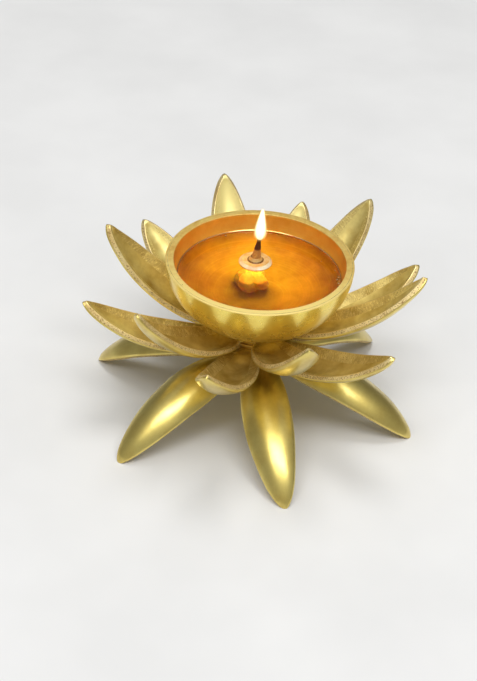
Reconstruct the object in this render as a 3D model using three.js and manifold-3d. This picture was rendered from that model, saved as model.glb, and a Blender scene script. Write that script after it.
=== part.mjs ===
// Lotus diya: an oil lamp whose cast bowl stands on three tiers of spoon-shaped petals.
// Two tiers rise round the bowl and the third is turned over, so that its tips are the feet.
// Millimetres, +Z up, origin on the table under the middle of the bowl.

import * as THREE from 'three';
import { mergeVertices } from 'three/addons/utils/BufferGeometryUtils.js';
import Module from 'manifold-3d';

const wasm = await Module();
wasm.setup();

// Fits
const SEAM = 0.3;               // gap left where two pieces meet
const BOLT_CLEARANCE = 0.3;     // all round the bolt in its holes

// One petal casting, used eighteen times
const PETAL_LENGTH = 83;        // along its curved middle line
const PETAL_WIDTH = 27;
const PETAL_BEND = 45;          // degrees from neck to tip
const PETAL_WIDEST = 0.37;      // share of the length where it is widest
const PETAL_FULLNESS = 0.57;    // how blunt its tip is, 0.5 being round
const PETAL_NECK = 0.0185;      // share of the length that the outline would need to close at the neck
const PETAL_DEPTH = 6;          // of the rounded back, below the side edges
const PETAL_DEPTH_TAPER = 1.4;  // how fast the back flattens as the petal narrows
const PETAL_WALL = 3.2;
const DISH_START = 0.12;        // share of the length over which the face dishes in from the neck
const EDGE_HEIGHT = 2.8;        // filed side edge, from the ridge down to the back
const EDGE_SLANT = 1.6;         // how far that edge leans out
const EDGE_SHARE = 0.35;        // most of the half width that the slant takes near the tip
const EDGE_TIP_SHARE = 0.7;     // of the edge's height and slant, left at the very tip
const TANG_LENGTH = 5;          // solid stub behind the neck, before it is coped to its hub

// Tiers
const PETALS_PER_TIER = 6;
const HUB_RADIUS = 15.6;
const HUB_HEIGHT = 9.7;         // foot hub and middle hub
const HUB_CHAMFER = 0.6;
const UPPER_HUB_HEIGHT = 3.6;
const NECK_RADIUS = 17;         // lamp axis to the neck of a petal
const UPPER_PITCH = 33.5;       // degrees, neck to tip, above level
const MIDDLE_PITCH = 24;        // degrees, above level
const FOOT_PITCH = 23;          // degrees, below level
const UPPER_STAND = 1.6;        // ridge of an upper neck above its hub
const FOOT_PAD_DEPTH = 1.8;     // filed off each foot's tip so that it stands flat
const UPPER_FIRST = -13;        // degrees, the direction of the first petal of each tier
const MIDDLE_FIRST = 17;        // degrees
const FOOT_FIRST = 43;          // degrees

// Bowl
const BOWL_RADIUS = 50;
const BOWL_DEPTH = 40.75;       // rim to the lowest point outside
const BOWL_FLOOR = 3.75;
const BOWL_FULLNESS = 1.05;     // 1 is an ellipse, more is leaner
const LIP_WIDTH = 4.4;
const LIP_BEVEL = 0.5;
const SEAT_RADIUS = 14;         // turned flat under the bowl
const SEAT_DROP = 0.55;         // how far the seat lies below the bowl's own curve
const SPIGOT_RADIUS = 8;        // runs through the upper hub and into the middle one
const SPIGOT_REACH = 3;         // how far into the middle hub

// Bolt that draws the stack together from below
const BOLT_RADIUS = 4;
const BOLT_HEAD_ACROSS_FLATS = 13;
const BOLT_HEAD_HEIGHT = 5.3;
const BOLT_GRIP = 6.5;          // how far it reaches into the bowl's spigot
const WASHER_RADIUS = 9;
const WASHER_THICKNESS = 1.6;

// Wick and its glass disc
const WICK_PLACE = new THREE.Vector2(-2.5, 13);
const WICK_BASE_RADIUS = 9.4;
const WICK_BASE_HEIGHT = 14;
const WICK_LOBES = 5;
const WICK_LOBE_SWELL = 0.12;
const WICK_SLEEVE_RADIUS = 3.7; // cotton below the disc, which the disc sits on
const WICK_STEM_RADIUS = 2.4;
const WICK_TIP_RADIUS = 1.1;
const WICK_STAND = 19;          // tip above the disc, inside the flame when lit
const WICK_SEAT_GAP = 0.45;     // the floor's facets stand a little inside its curve
const DISC_RADIUS = 9;
const DISC_THICKNESS = 2;
const DISC_ROUND = 0.5;         // broken outer edges of the disc
const DISC_DROP = 10.3;         // rim of the bowl down to the disc's underside
const DISC_COLLAR_WIDTH = 1.4;
const DISC_COLLAR_HEIGHT = 0.7;

// Facets
const BOWL_SEGMENTS = 60;
const BOWL_STEPS = 8;
const HUB_SEGMENTS = 36;
const SMALL_SEGMENTS = 24;
const BACK_STEPS = 8;
const DISH_STEPS = 6;

// How far each casting was brazed off its even place, in whole degrees: swung sideways,
// tipped up and rolled about its own length. Hand work, so the tiers are not quite regular.
const UPPER_LEANS = [[9, -3, -7], [-2, 2, 10], [-1, -1, 0], [3, 2, -8], [0, 0, -6], [1, 0, 6]];
const MIDDLE_LEANS = [[1, 1, 4], [-1, 0, -2], [0, -3, -14], [-4, -3, -4], [-1, 3, -4], [3, 1, 7]];
const FOOT_LEANS = [[-1, 0, 6], [0, 0, 0], [1, 0, -7], [0, 0, -8], [1, 0, 16], [1, 0, 8]];

// Levels, built up from the table
const radians = THREE.MathUtils.degToRad;
const petalReach = PETAL_LENGTH * Math.sin(radians(PETAL_BEND / 2)) / radians(PETAL_BEND / 2);
const footRidge = petalReach * Math.sin(radians(FOOT_PITCH)) - FOOT_PAD_DEPTH;
const neckDepth = EDGE_HEIGHT + backDepth(0);
const footHubBase = footRidge + (neckDepth - HUB_HEIGHT) / 2;
const middleHubBase = footHubBase + HUB_HEIGHT + SEAM;
const middleRidge = middleHubBase + (HUB_HEIGHT + neckDepth) / 2;
const upperHubBase = middleHubBase + HUB_HEIGHT + SEAM;
const upperHubTop = upperHubBase + UPPER_HUB_HEIGHT;
const upperRidge = upperHubTop + UPPER_STAND;
const bowlSeat = upperHubTop + SEAM;
const bowlRim = bowlSeat + SEAT_DROP + BOWL_DEPTH;
const bowlInnerRadius = BOWL_RADIUS - LIP_WIDTH;
const bowlInnerDepth = BOWL_DEPTH - BOWL_FLOOR;
const spigotBase = upperHubBase - SEAM - SPIGOT_REACH;
const boltBore = BOLT_RADIUS + BOLT_CLEARANCE;
const discBase = bowlRim - DISC_DROP;

// Finishes
const brass = () => new THREE.MeshStandardMaterial({ color: 0xb8963e, metalness: 1, roughness: 0.35 });
const filedBrass = () => new THREE.MeshStandardMaterial({ color: 0xb59a52, metalness: 1, roughness: 0.45 });
const steel = () => new THREE.MeshStandardMaterial({ color: 0x9a9a98, metalness: 1, roughness: 0.4 });
const glass = () => new THREE.MeshStandardMaterial({ color: 0xe9d3b4, metalness: 0, roughness: 0.1 });
const cotton = () => new THREE.MeshStandardMaterial({ color: 0xd9a257, metalness: 0, roughness: 0.8 });

// Solids and cuts
function solid(geometry) {
  const bare = geometry.clone();
  bare.deleteAttribute('normal');
  bare.deleteAttribute('uv');
  const merged = mergeVertices(bare, 1e-4);
  return new wasm.Manifold(new wasm.Mesh({
    numProp: 3,
    vertProperties: new Float32Array(merged.attributes.position.array),
    triVerts: new Uint32Array(merged.index.array),
  }));
}

function surface(body) {
  const { vertProperties, triVerts } = body.getMesh();
  const geometry = new THREE.BufferGeometry();
  geometry.setAttribute('position', new THREE.BufferAttribute(vertProperties, 3));
  geometry.setIndex(new THREE.BufferAttribute(triVerts, 1));
  geometry.computeVertexNormals();
  return geometry;
}

// A turned piece: its profile is a list of [radius, height], up the outside and back down the inside.
function turned(profile, segments) {
  const points = profile.map(([radius, height]) => new THREE.Vector2(radius, height));
  return new THREE.LatheGeometry(points, segments).rotateX(Math.PI / 2);
}

function rod(radius, base, top, segments) {
  return new THREE.CylinderGeometry(radius, radius, top - base, segments)
    .rotateX(Math.PI / 2)
    .translate(0, 0, (base + top) / 2);
}

// Skin over rings of equal count, each anticlockwise seen from the far end, closed to a point
// at the far end and, if `start` is given, at the near end too.
function loft(rings, end, start) {
  const count = rings[0].length;
  const points = rings.flat();
  const last = (rings.length - 1) * count;
  const faces = [];
  for (let ring = 0; ring < rings.length - 1; ring += 1) {
    for (let j = 0; j < count; j += 1) {
      const here = ring * count + j;
      const next = ring * count + (j + 1) % count;
      faces.push(here, next, here + count, next, next + count, here + count);
    }
  }
  points.push(end);
  for (let j = 0; j < count; j += 1) faces.push(last + j, last + (j + 1) % count, points.length - 1);
  if (start) {
    points.push(start);
    for (let j = 0; j < count; j += 1) faces.push((j + 1) % count, j, points.length - 1);
  } else {
    for (let j = 1; j < count - 1; j += 1) faces.push(0, j + 1, j);
  }
  const geometry = new THREE.BufferGeometry().setFromPoints(points);
  geometry.setIndex(faces);
  return geometry;
}

// Petal outline and depth at a share t of its length
function halfWidth(t) {
  const rise = PETAL_FULLNESS * (PETAL_WIDEST + PETAL_NECK) / (1 - PETAL_WIDEST);
  const opening = ((t + PETAL_NECK) / (PETAL_WIDEST + PETAL_NECK)) ** rise;
  const closing = ((1 - t) / (1 - PETAL_WIDEST)) ** PETAL_FULLNESS;
  return PETAL_WIDTH / 2 * opening * closing;
}

function backDepth(t) {
  return PETAL_DEPTH * (2 * halfWidth(t) / PETAL_WIDTH) ** PETAL_DEPTH_TAPER;
}

// How far the face is drawn back from the tip, so that the side edge runs on round it
function drawnBack(t) {
  return EDGE_SLANT * EDGE_TIP_SHARE * Math.max(0, (t - PETAL_WIDEST) / (1 - PETAL_WIDEST));
}

// One section, each point as [sideways, up, back along the petal]: the rounded back from edge to
// edge, then the dished face.
function petalSection(t) {
  const half = halfWidth(t);
  const slant = Math.min(EDGE_SLANT, half * EDGE_SHARE);
  const edge = EDGE_HEIGHT * THREE.MathUtils.lerp(EDGE_TIP_SHARE, 1, slant / EDGE_SLANT);
  const ridge = half - slant;
  const back = backDepth(t);
  const fade = THREE.MathUtils.smoothstep(t, 0, DISH_START);
  const dish = Math.max(0, edge + back - PETAL_WALL) * fade;
  const points = [];
  for (let i = 0; i <= BACK_STEPS; i += 1) {
    const share = 2 * i / BACK_STEPS - 1;
    points.push([half * share, -edge - back * (1 - share * share), 0]);
  }
  for (let i = 0; i <= DISH_STEPS; i += 1) {
    const share = 1 - 2 * i / DISH_STEPS;
    points.push([ridge * share, -dish * (1 - share * share), drawnBack(t)]);
  }
  return points;
}

// The casting lies along +X from its neck at the origin, tip level with the neck, face up.
function petalCasting() {
  const bend = radians(PETAL_BEND);
  const radius = PETAL_LENGTH / bend;
  const middle = (t) => {
    const angle = bend * (t - 0.5);
    const along = radius * (Math.sin(angle) + Math.sin(bend / 2));
    const up = radius * (Math.cos(bend / 2) - Math.cos(angle));
    return { along, up, angle };
  };
  const place = ({ along, up, angle }) => ([sideways, lift, back]) => new THREE.Vector3(
    along - lift * Math.sin(angle) - back * Math.cos(angle),
    sideways,
    up + lift * Math.cos(angle) - back * Math.sin(angle),
  );
  const neck = middle(0);
  const stub = {
    along: -TANG_LENGTH * Math.cos(neck.angle),
    up: -TANG_LENGTH * Math.sin(neck.angle),
    angle: neck.angle,
  };
  const stations = [0, 0.05, 0.11, 0.18, 0.27, 0.37, 0.48, 0.6, 0.72, 0.82, 0.9, 0.955, 0.985, 0.997];
  const rings = stations.map((t) => petalSection(t).map(place(middle(t))));
  rings.unshift(petalSection(0).map(place(stub)));
  const tip = place(middle(1))([0, -EDGE_HEIGHT * EDGE_TIP_SHARE / 2, drawnBack(1) / 2]);
  return loft(rings, tip);
}

// One petal, pointing along +X: set at its lean, coped to its hub and, as a foot, filed to the table.
function fittedPetal(casting, tier, lean) {
  const [, lift, roll] = lean;
  const turnedOver = tier.foot ? Math.PI : 0;
  const matrix = new THREE.Matrix4().makeTranslation(NECK_RADIUS, 0, tier.ridge)
    .multiply(new THREE.Matrix4().makeRotationY(-radians(tier.pitch + lift)))
    .multiply(new THREE.Matrix4().makeRotationX(radians(roll) + turnedOver));
  const hubSide = rod(HUB_RADIUS + SEAM, 0, bowlRim, HUB_SEGMENTS);
  let body = solid(casting.clone().applyMatrix4(matrix)).subtract(solid(hubSide));
  if (tier.foot) {
    const table = new THREE.BoxGeometry(petalReach, PETAL_WIDTH, footRidge)
      .translate(NECK_RADIUS + petalReach, 0, -footRidge / 2);
    body = body.subtract(solid(table));
  }
  return surface(body);
}

function petalTier(casting, tier) {
  const group = new THREE.Group();
  tier.leans.forEach((lean, index) => {
    const mesh = new THREE.Mesh(fittedPetal(casting, tier, lean), tier.finish());
    mesh.name = `${tier.name}_${index + 1}`;
    mesh.rotation.z = radians(tier.first + index * 360 / PETALS_PER_TIER + lean[0]);
    group.add(mesh);
  });
  return group;
}

// Heights on the bowl's two curves, from the rim down, at a radius
function curveDrop(radius, rimRadius, depth) {
  const cosine = (radius / rimRadius) ** (1 / BOWL_FULLNESS);
  return depth * Math.sqrt(Math.max(0, 1 - cosine * cosine));
}

function bowlFloorHeight(radius) {
  return bowlRim - curveDrop(radius, bowlInnerRadius, bowlInnerDepth);
}

// Points along one of the bowl's curves, by angle below the rim
function bowlCurve(rimRadius, depth, fromAngle, toAngle, steps) {
  const points = [];
  for (let i = 0; i <= steps; i += 1) {
    const angle = fromAngle + (toAngle - fromAngle) * i / steps;
    points.push([rimRadius * Math.cos(angle) ** BOWL_FULLNESS, bowlRim - depth * Math.sin(angle)]);
  }
  return points;
}

function bowl() {
  const seatAngle = Math.acos((SEAT_RADIUS / BOWL_RADIUS) ** (1 / BOWL_FULLNESS));
  const bevelAngle = Math.asin(LIP_BEVEL / BOWL_DEPTH);
  const innerBevelAngle = Math.asin(LIP_BEVEL / bowlInnerDepth);
  const boreTop = spigotBase + BOLT_GRIP + BOLT_CLEARANCE;
  const outside = bowlCurve(BOWL_RADIUS, BOWL_DEPTH, seatAngle, bevelAngle, BOWL_STEPS);
  const inside = bowlCurve(bowlInnerRadius, bowlInnerDepth, innerBevelAngle, Math.PI / 2, BOWL_STEPS);
  inside[inside.length - 1][0] = 0;
  const profile = [
    [0, boreTop], [boltBore, boreTop], [boltBore, spigotBase], [SPIGOT_RADIUS, spigotBase],
    [SPIGOT_RADIUS, bowlSeat], [SEAT_RADIUS, bowlSeat], ...outside,
    [BOWL_RADIUS - LIP_BEVEL, bowlRim], [bowlInnerRadius + LIP_BEVEL, bowlRim], ...inside,
  ];
  return surface(solid(turned(profile, BOWL_SEGMENTS)));
}

// A turned ring between two heights, its edges broken by a small chamfer. A recess takes the spigot.
function hub(bore, base, height, recessDepth = 0) {
  const top = base + height;
  const recess = SPIGOT_RADIUS + SEAM;
  const recessFloor = top - recessDepth;
  const inside = recessDepth > 0
    ? [[recess, top], [recess, recessFloor], [bore, recessFloor]]
    : [[bore, top]];
  const profile = [
    [bore, base], [HUB_RADIUS - HUB_CHAMFER, base], [HUB_RADIUS, base + HUB_CHAMFER],
    [HUB_RADIUS, top - HUB_CHAMFER], [HUB_RADIUS - HUB_CHAMFER, top], ...inside, [bore, base],
  ];
  return turned(profile, HUB_SEGMENTS);
}

function washer() {
  const top = footHubBase - SEAM;
  const base = top - WASHER_THICKNESS;
  const profile = [
    [boltBore, base], [WASHER_RADIUS, base], [WASHER_RADIUS, top], [boltBore, top], [boltBore, base],
  ];
  return turned(profile, SMALL_SEGMENTS);
}

function bolt() {
  const headTop = footHubBase - WASHER_THICKNESS - 2 * SEAM;
  const headRadius = BOLT_HEAD_ACROSS_FLATS / Math.sqrt(3);
  const head = rod(headRadius, headTop - BOLT_HEAD_HEIGHT, headTop, 6);
  const shank = rod(BOLT_RADIUS, headTop - BOLT_HEAD_HEIGHT / 2, spigotBase + BOLT_GRIP, SMALL_SEGMENTS);
  return surface(solid(head).add(solid(shank)));
}

// Cotton gathered in lobes at its foot, drawn up through the disc and twisted to a tip.
// Its underside follows the bowl's floor on the side where that rises most.
function wick() {
  const offset = WICK_PLACE.length();
  const swell = 1 + WICK_LOBE_SWELL;
  const under = (radius) => bowlFloorHeight(offset + radius * swell) + WICK_SEAT_GAP;
  const foot = under(WICK_BASE_RADIUS);
  const shoulder = discBase - SEAM;
  const tip = discBase + DISC_THICKNESS + WICK_STAND;
  const underside = [0.3, 0.6, 0.85, 1].map((share) => {
    const radius = WICK_BASE_RADIUS * share;
    return { radius, height: under(radius), lobed: share };
  });
  const sides = [
    { radius: WICK_BASE_RADIUS * 1.02, height: foot + WICK_BASE_HEIGHT * 0.25, lobed: 1 },
    { radius: WICK_BASE_RADIUS * 0.92, height: foot + WICK_BASE_HEIGHT * 0.55, lobed: 1 },
    { radius: WICK_BASE_RADIUS * 0.62, height: foot + WICK_BASE_HEIGHT * 0.82, lobed: 0.7 },
    { radius: WICK_SLEEVE_RADIUS * 1.1, height: foot + WICK_BASE_HEIGHT, lobed: 0.2 },
    { radius: WICK_SLEEVE_RADIUS, height: shoulder, lobed: 0 },
    { radius: WICK_STEM_RADIUS, height: shoulder, lobed: 0 },
    { radius: WICK_STEM_RADIUS * 0.95, height: shoulder + (tip - shoulder) * 0.5, lobed: 0 },
    { radius: (WICK_STEM_RADIUS + WICK_TIP_RADIUS) / 2, height: shoulder + (tip - shoulder) * 0.8, lobed: 0 },
    { radius: WICK_TIP_RADIUS, height: tip - WICK_TIP_RADIUS * 0.5, lobed: 0 },
  ];
  const segments = WICK_LOBES * 4;
  const rings = [...underside, ...sides].map(({ radius, height, lobed }) => {
    const ring = [];
    for (let j = 0; j < segments; j += 1) {
      const angle = 2 * Math.PI * j / segments;
      const out = radius * (1 + WICK_LOBE_SWELL * lobed * Math.cos(WICK_LOBES * angle));
      ring.push(new THREE.Vector3(out * Math.cos(angle), out * Math.sin(angle), height));
    }
    return ring;
  });
  return surface(solid(loft(rings, new THREE.Vector3(0, 0, tip), new THREE.Vector3(0, 0, under(0)))));
}

function wickDisc() {
  const bore = WICK_STEM_RADIUS + SEAM;
  const collar = bore + DISC_COLLAR_WIDTH;
  const top = discBase + DISC_THICKNESS;
  const profile = [
    [bore, discBase], [DISC_RADIUS - DISC_ROUND, discBase], [DISC_RADIUS, discBase + DISC_ROUND],
    [DISC_RADIUS, top - DISC_ROUND], [DISC_RADIUS - DISC_ROUND, top], [collar, top],
    [collar - DISC_COLLAR_WIDTH / 2, top + DISC_COLLAR_HEIGHT], [bore, top + DISC_COLLAR_HEIGHT],
    [bore, discBase],
  ];
  return turned(profile, SMALL_SEGMENTS + 8);
}

function piece(name, geometry, material) {
  const mesh = new THREE.Mesh(geometry, material);
  mesh.name = name;
  return mesh;
}

const casting = petalCasting();
const tiers = [
  {
    name: 'upper_petal', ridge: upperRidge, pitch: UPPER_PITCH,
    first: UPPER_FIRST, leans: UPPER_LEANS, finish: filedBrass,
  },
  {
    name: 'middle_petal', ridge: middleRidge, pitch: MIDDLE_PITCH,
    first: MIDDLE_FIRST, leans: MIDDLE_LEANS, finish: filedBrass,
  },
  {
    name: 'foot_petal', ridge: footRidge, pitch: -FOOT_PITCH,
    first: FOOT_FIRST, leans: FOOT_LEANS, finish: brass, foot: true,
  },
];
const spigotBore = SPIGOT_RADIUS + SEAM;
const upperHub = hub(spigotBore, upperHubBase, UPPER_HUB_HEIGHT);
const middleHub = hub(boltBore, middleHubBase, HUB_HEIGHT, SPIGOT_REACH + SEAM);
const footHub = hub(boltBore, footHubBase, HUB_HEIGHT);

const lamp = new THREE.Group();
lamp.name = 'lotus_diya';
lamp.add(piece('bowl', bowl(), brass()));
lamp.add(piece('upper_hub', upperHub, filedBrass()));
lamp.add(piece('middle_hub', middleHub, filedBrass()));
lamp.add(piece('foot_hub', footHub, filedBrass()));
lamp.add(piece('centre_bolt', bolt(), steel()));
lamp.add(piece('washer', washer(), steel()));
tiers.forEach((tier) => lamp.add(petalTier(casting, tier)));

const wickGroup = new THREE.Group();
wickGroup.position.set(WICK_PLACE.x, WICK_PLACE.y, 0);
wickGroup.add(piece('wick', wick(), cotton()));
wickGroup.add(piece('wick_disc', wickDisc(), glass()));
lamp.add(wickGroup);

export default lamp;
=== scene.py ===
"""Lotus diya: the looks of a cast-brass lotus oil lamp.

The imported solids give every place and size. Each class builds the fine meshes of one
sub-assembly, in metres and in the same frame, and dresses them in the finish of the real piece.
"""

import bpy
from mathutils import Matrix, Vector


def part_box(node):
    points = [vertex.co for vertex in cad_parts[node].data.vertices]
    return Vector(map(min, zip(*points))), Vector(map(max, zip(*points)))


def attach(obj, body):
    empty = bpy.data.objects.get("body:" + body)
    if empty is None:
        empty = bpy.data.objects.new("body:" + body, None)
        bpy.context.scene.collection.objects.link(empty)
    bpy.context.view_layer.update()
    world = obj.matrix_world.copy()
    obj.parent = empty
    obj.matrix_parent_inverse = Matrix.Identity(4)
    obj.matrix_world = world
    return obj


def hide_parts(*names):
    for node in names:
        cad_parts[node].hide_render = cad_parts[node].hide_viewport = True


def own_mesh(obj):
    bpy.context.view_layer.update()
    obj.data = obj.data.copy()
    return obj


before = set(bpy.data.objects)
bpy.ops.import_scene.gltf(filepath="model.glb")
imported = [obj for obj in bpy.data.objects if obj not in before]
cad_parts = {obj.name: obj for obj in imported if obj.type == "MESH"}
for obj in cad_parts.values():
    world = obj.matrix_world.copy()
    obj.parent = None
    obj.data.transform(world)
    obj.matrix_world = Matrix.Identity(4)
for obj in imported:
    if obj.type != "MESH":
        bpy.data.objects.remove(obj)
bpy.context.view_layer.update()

import logging
import math
from dataclasses import dataclass, field
from enum import Enum
from typing import Any, Callable

import bmesh
import bpy
from mathutils import Matrix, Vector, noise

log = logging.getLogger("lotus_diya")

MM = 0.001
NOISE_LOW, NOISE_HIGH = 0.3, 0.7     # most values of a noise pattern lie between these
HAIR = 0.0001                        # millimetres too few to count
Colour = tuple[float, float, float, float]
Point2 = tuple[float, float]
Tree = bpy.types.NodeTree
Socket = bpy.types.NodeSocket
Material = bpy.types.Material
Piece = bpy.types.Object


# Colours and nodes

def linear(hex_code: str) -> Colour:
    """Turn an sRGB hex colour into linear light, by the standard's own curve.

    Args:
        hex_code: Six hex digits after a hash.

    Returns:
        Linear red, green and blue, and an alpha of 1.
    """
    channels = [int(hex_code[i:i + 2], 16) / 255 for i in (1, 3, 5)]
    red, green, blue = [c / 12.92 if c <= 0.04045 else ((c + 0.055) / 1.055) ** 2.4 for c in channels]
    return red, green, blue, 1.0


def per_mm(size_mm: float) -> float:
    """Return the texture scale, in repeats per metre, of a pattern of that size."""
    return 1 / (size_mm * MM)


def add_node(
    tree: Tree,
    kind: str,
    settings: dict[str, Any] | None = None,
    values: dict[str | int, Any] | None = None,
    links: dict[str | int, Socket] | None = None,
    stops: list[tuple[float, str]] | None = None,
) -> bpy.types.Node:
    """Add one node with its settings, its fixed socket values and its incoming links.

    Args:
        tree: The tree that gets the node.
        kind: Blender's name for the kind of node.
        settings: The node's own properties.
        values: Values of unlinked input sockets, by name or number.
        links: Output sockets that feed input sockets, by name or number.
        stops: Place from 0 to 1 and sRGB hex colour of each stop, in order, where it is a ramp.

    Returns:
        The new node.
    """
    made = tree.nodes.new(kind)
    for name, value in (settings or {}).items():
        setattr(made, name, value)
    for name, value in (values or {}).items():
        made.inputs[name].default_value = value
    for name, socket in (links or {}).items():
        tree.links.new(socket, made.inputs[name])
    for index, (place, hex_code) in enumerate(stops or []):
        elements = made.color_ramp.elements
        stop = elements[index] if index < len(elements) else elements.new(1.0)
        stop.position = place
        stop.color = linear(hex_code)
    return made


def new_material(name: str) -> tuple[Material, Tree]:
    """Make an empty node material.

    Args:
        name: The material's name.

    Returns:
        The material and its node tree.
    """
    material = bpy.data.materials.new(name)
    material.use_nodes = True
    material.node_tree.nodes.clear()
    return material, material.node_tree


@dataclass(frozen=True)
class Surface:
    """What a finish has worked out so far, ready for its shader."""

    colour: Socket
    gloss: Socket
    normal: Socket


class Grain(Enum):
    """Which way the last tool ran over a surface."""

    LENGTHWISE = "across"    # marks run along the piece, so they change across it
    CROSSWISE = "along"      # marks run across the piece, so they change along it


@dataclass(frozen=True)
class BrassFinish:
    """Yellow brass, copper with about a third of zinc, with the marks of how it was worked.

    Bare brass takes a warm yellow from its copper, and it dulls to olive and brown where oil
    and air have been at it. The worked grain draws its highlights out across the marks.
    """

    name: str
    bright: str                      # freshly rubbed metal
    dull: str                        # metal with a film of tarnish
    tarnish_mm: float = 14.0         # size of the duller patches
    tarnish_share: float = 0.5       # where between dull and bright the patches balance
    tarnish_levels: tuple[float, float] = (0.25, 0.75)   # noise levels of full tarnish and of none
    metal: float = 1.0               # less where scratches and film scatter the light
    coat: float = 0.0                # share of thin clear lacquer, which whitens the highlights
    coat_roughness: float = 0.15
    # Painted sheen: how much lighter one side of the lamp is made, and from which Y to which, in mm.
    painted_sheen: tuple[float, float, float] = (0.0, 0.0, 1.0)
    sheen_scatter: float = 0.7      # how much of its mirror a place under the painted sheen loses
    roughness: tuple[float, float] = (0.2, 0.32)         # where bright, and where dull
    grain: Grain = Grain.LENGTHWISE
    grain_mm: float = 0.25           # spacing of the marks, coarser than real grit so that they show
    grain_run_mm: float = 9.0        # how far a mark keeps its depth
    grain_depth_mm: float = 0.004
    grain_tint: float = 0.15         # how much the marks darken and lighten the colour
    swell_mm: float = 9.0            # gentle unevenness left by hand buffing
    swell_depth_mm: float = 0.05
    pit_spacing_mm: float = 7.0      # cells that may each hold one casting pinhole
    pit_radius_mm: float = 0.35
    pit_floor: float = 0.5           # share of its radius that is at full depth
    pit_depth_mm: float = 0.2
    pit_share: float = 0.0           # share of the cells that hold one
    pit_colour: str = "#3A2A0E"
    speckle_share: float = 0.0       # sand-cast skin left in the low spots of a filed band
    speckle_colour: str = "#6E4A22"
    speckle_mm: float = 0.9
    speckle_depth_mm: float = 0.05
    skin_roughness: float = 0.7      # of the cast skin in pinholes and specks

    def material(self) -> Material:
        """Build the finish's node material.

        Returns:
            The material.
        """
        material, tree = new_material(self.name)
        place = add_node(tree, "ShaderNodeTexCoord").outputs["Object"]
        marks = self._marks(tree, place)
        patches = add_node(tree, "ShaderNodeTexNoise", values={
            "Scale": per_mm(self.tarnish_mm), "Detail": 4.0, "Roughness": 0.6,
        }, links={"Vector": place}).outputs["Fac"]
        tint = add_node(tree, "ShaderNodeMath", {"operation": "MULTIPLY_ADD", "use_clamp": True}, {
            1: self.grain_tint * 2, 2: self.tarnish_share - 0.5 - self.grain_tint,
        }, {0: marks}).outputs[0]
        level = add_node(tree, "ShaderNodeMath", {"operation": "ADD", "use_clamp": True}, links={
            0: patches, 1: tint,
        }).outputs[0]
        mirror: dict[str, Socket] = {}
        # Painted sheen: one side of the lamp is made lighter by its Y place.
        if self.painted_sheen[0] > 0:
            level, mirror["Metallic"] = self._paint_sheen(tree, place, level)
        colour = add_node(tree, "ShaderNodeValToRGB", links={"Fac": level}, stops=[
            *zip(self.tarnish_levels, (self.dull, self.bright)),
        ]).outputs["Color"]
        gloss = add_node(tree, "ShaderNodeMapRange", values={
            "From Min": NOISE_LOW, "From Max": NOISE_HIGH, "To Min": self.roughness[1],
            "To Max": self.roughness[0],
        }, links={"Value": level}).outputs["Result"]

        swell = add_node(tree, "ShaderNodeTexNoise", values={
            "Scale": per_mm(self.swell_mm), "Detail": 2.0,
        }, links={"Vector": place}).outputs["Fac"]
        buffed = add_node(tree, "ShaderNodeBump", values={
            "Strength": 1.0, "Distance": self.swell_depth_mm * MM,
        }, links={"Height": swell}).outputs["Normal"]
        worked = add_node(tree, "ShaderNodeBump", values={
            "Strength": 1.0, "Distance": self.grain_depth_mm * MM,
        }, links={"Height": marks, "Normal": buffed}).outputs["Normal"]
        surface = Surface(colour, gloss, worked)
        if self.speckle_share > 0:
            surface = self._speckle(tree, place, surface)
        if self.pit_share > 0:
            surface = self._pits(tree, place, surface)

        shader = add_node(tree, "ShaderNodeBsdfPrincipled", values={
            "Metallic": self.metal, "Coat Weight": self.coat, "Coat Roughness": self.coat_roughness,
        }, links={
            "Base Color": surface.colour, "Roughness": surface.gloss, "Normal": surface.normal, **mirror,
        })
        add_node(tree, "ShaderNodeOutputMaterial", links={"Surface": shader.outputs[0]})
        return material

    def _marks(self, tree: Tree, place: Socket) -> Socket:
        """Draw the tool's marks, close together one way and long the other way.

        Args:
            tree: The material's tree.
            place: Object coordinates.

        Returns:
            The marks' depth, from 0 to 1.
        """
        across = add_node(tree, "ShaderNodeAttribute", {"attribute_name": self.grain.value}).outputs["Fac"]
        slow = add_node(tree, "ShaderNodeVectorMath", {"operation": "SCALE"}, {
            "Scale": per_mm(self.grain_run_mm),
        }, {0: place})
        quick = add_node(tree, "ShaderNodeMath", {"operation": "MULTIPLY"}, {
            1: per_mm(self.grain_mm),
        }, {0: across})
        step = add_node(tree, "ShaderNodeCombineXYZ", links={"X": quick.outputs[0]})
        vector = add_node(tree, "ShaderNodeVectorMath", {"operation": "ADD"}, links={
            0: slow.outputs[0], 1: step.outputs[0],
        })
        return add_node(tree, "ShaderNodeTexNoise", values={
            "Scale": 1.0, "Detail": 3.0, "Roughness": 0.65,
        }, links={"Vector": vector.outputs[0]}).outputs["Fac"]

    def _paint_sheen(self, tree: Tree, place: Socket, level: Socket) -> tuple[Socket, Socket]:
        """Paint a sheen towards one side of the lamp: lighter colour and less metal there, standing in for the
        light that side catches.

        Args:
            tree: The material's tree.
            place: Object coordinates.
            level: How bright the metal is so far.

        Returns:
            How bright it is then, and the metallic share that the painted sheen leaves.
        """
        share, start, end = self.painted_sheen
        way = add_node(tree, "ShaderNodeSeparateXYZ", links={"Vector": place}).outputs["Y"]
        sheen = add_node(tree, "ShaderNodeMapRange", values={
            "From Min": start * MM, "From Max": end * MM, "To Min": 0.0, "To Max": share,
        }, links={"Value": way}).outputs["Result"]
        brighter = add_node(tree, "ShaderNodeMath", {"operation": "ADD", "use_clamp": True}, links={
            0: level, 1: sheen,
        })
        metal = add_node(tree, "ShaderNodeMath", {"operation": "MULTIPLY_ADD", "use_clamp": True}, {
            1: -self.sheen_scatter, 2: self.metal,
        }, {0: sheen})
        return brighter.outputs[0], metal.outputs[0]

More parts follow.
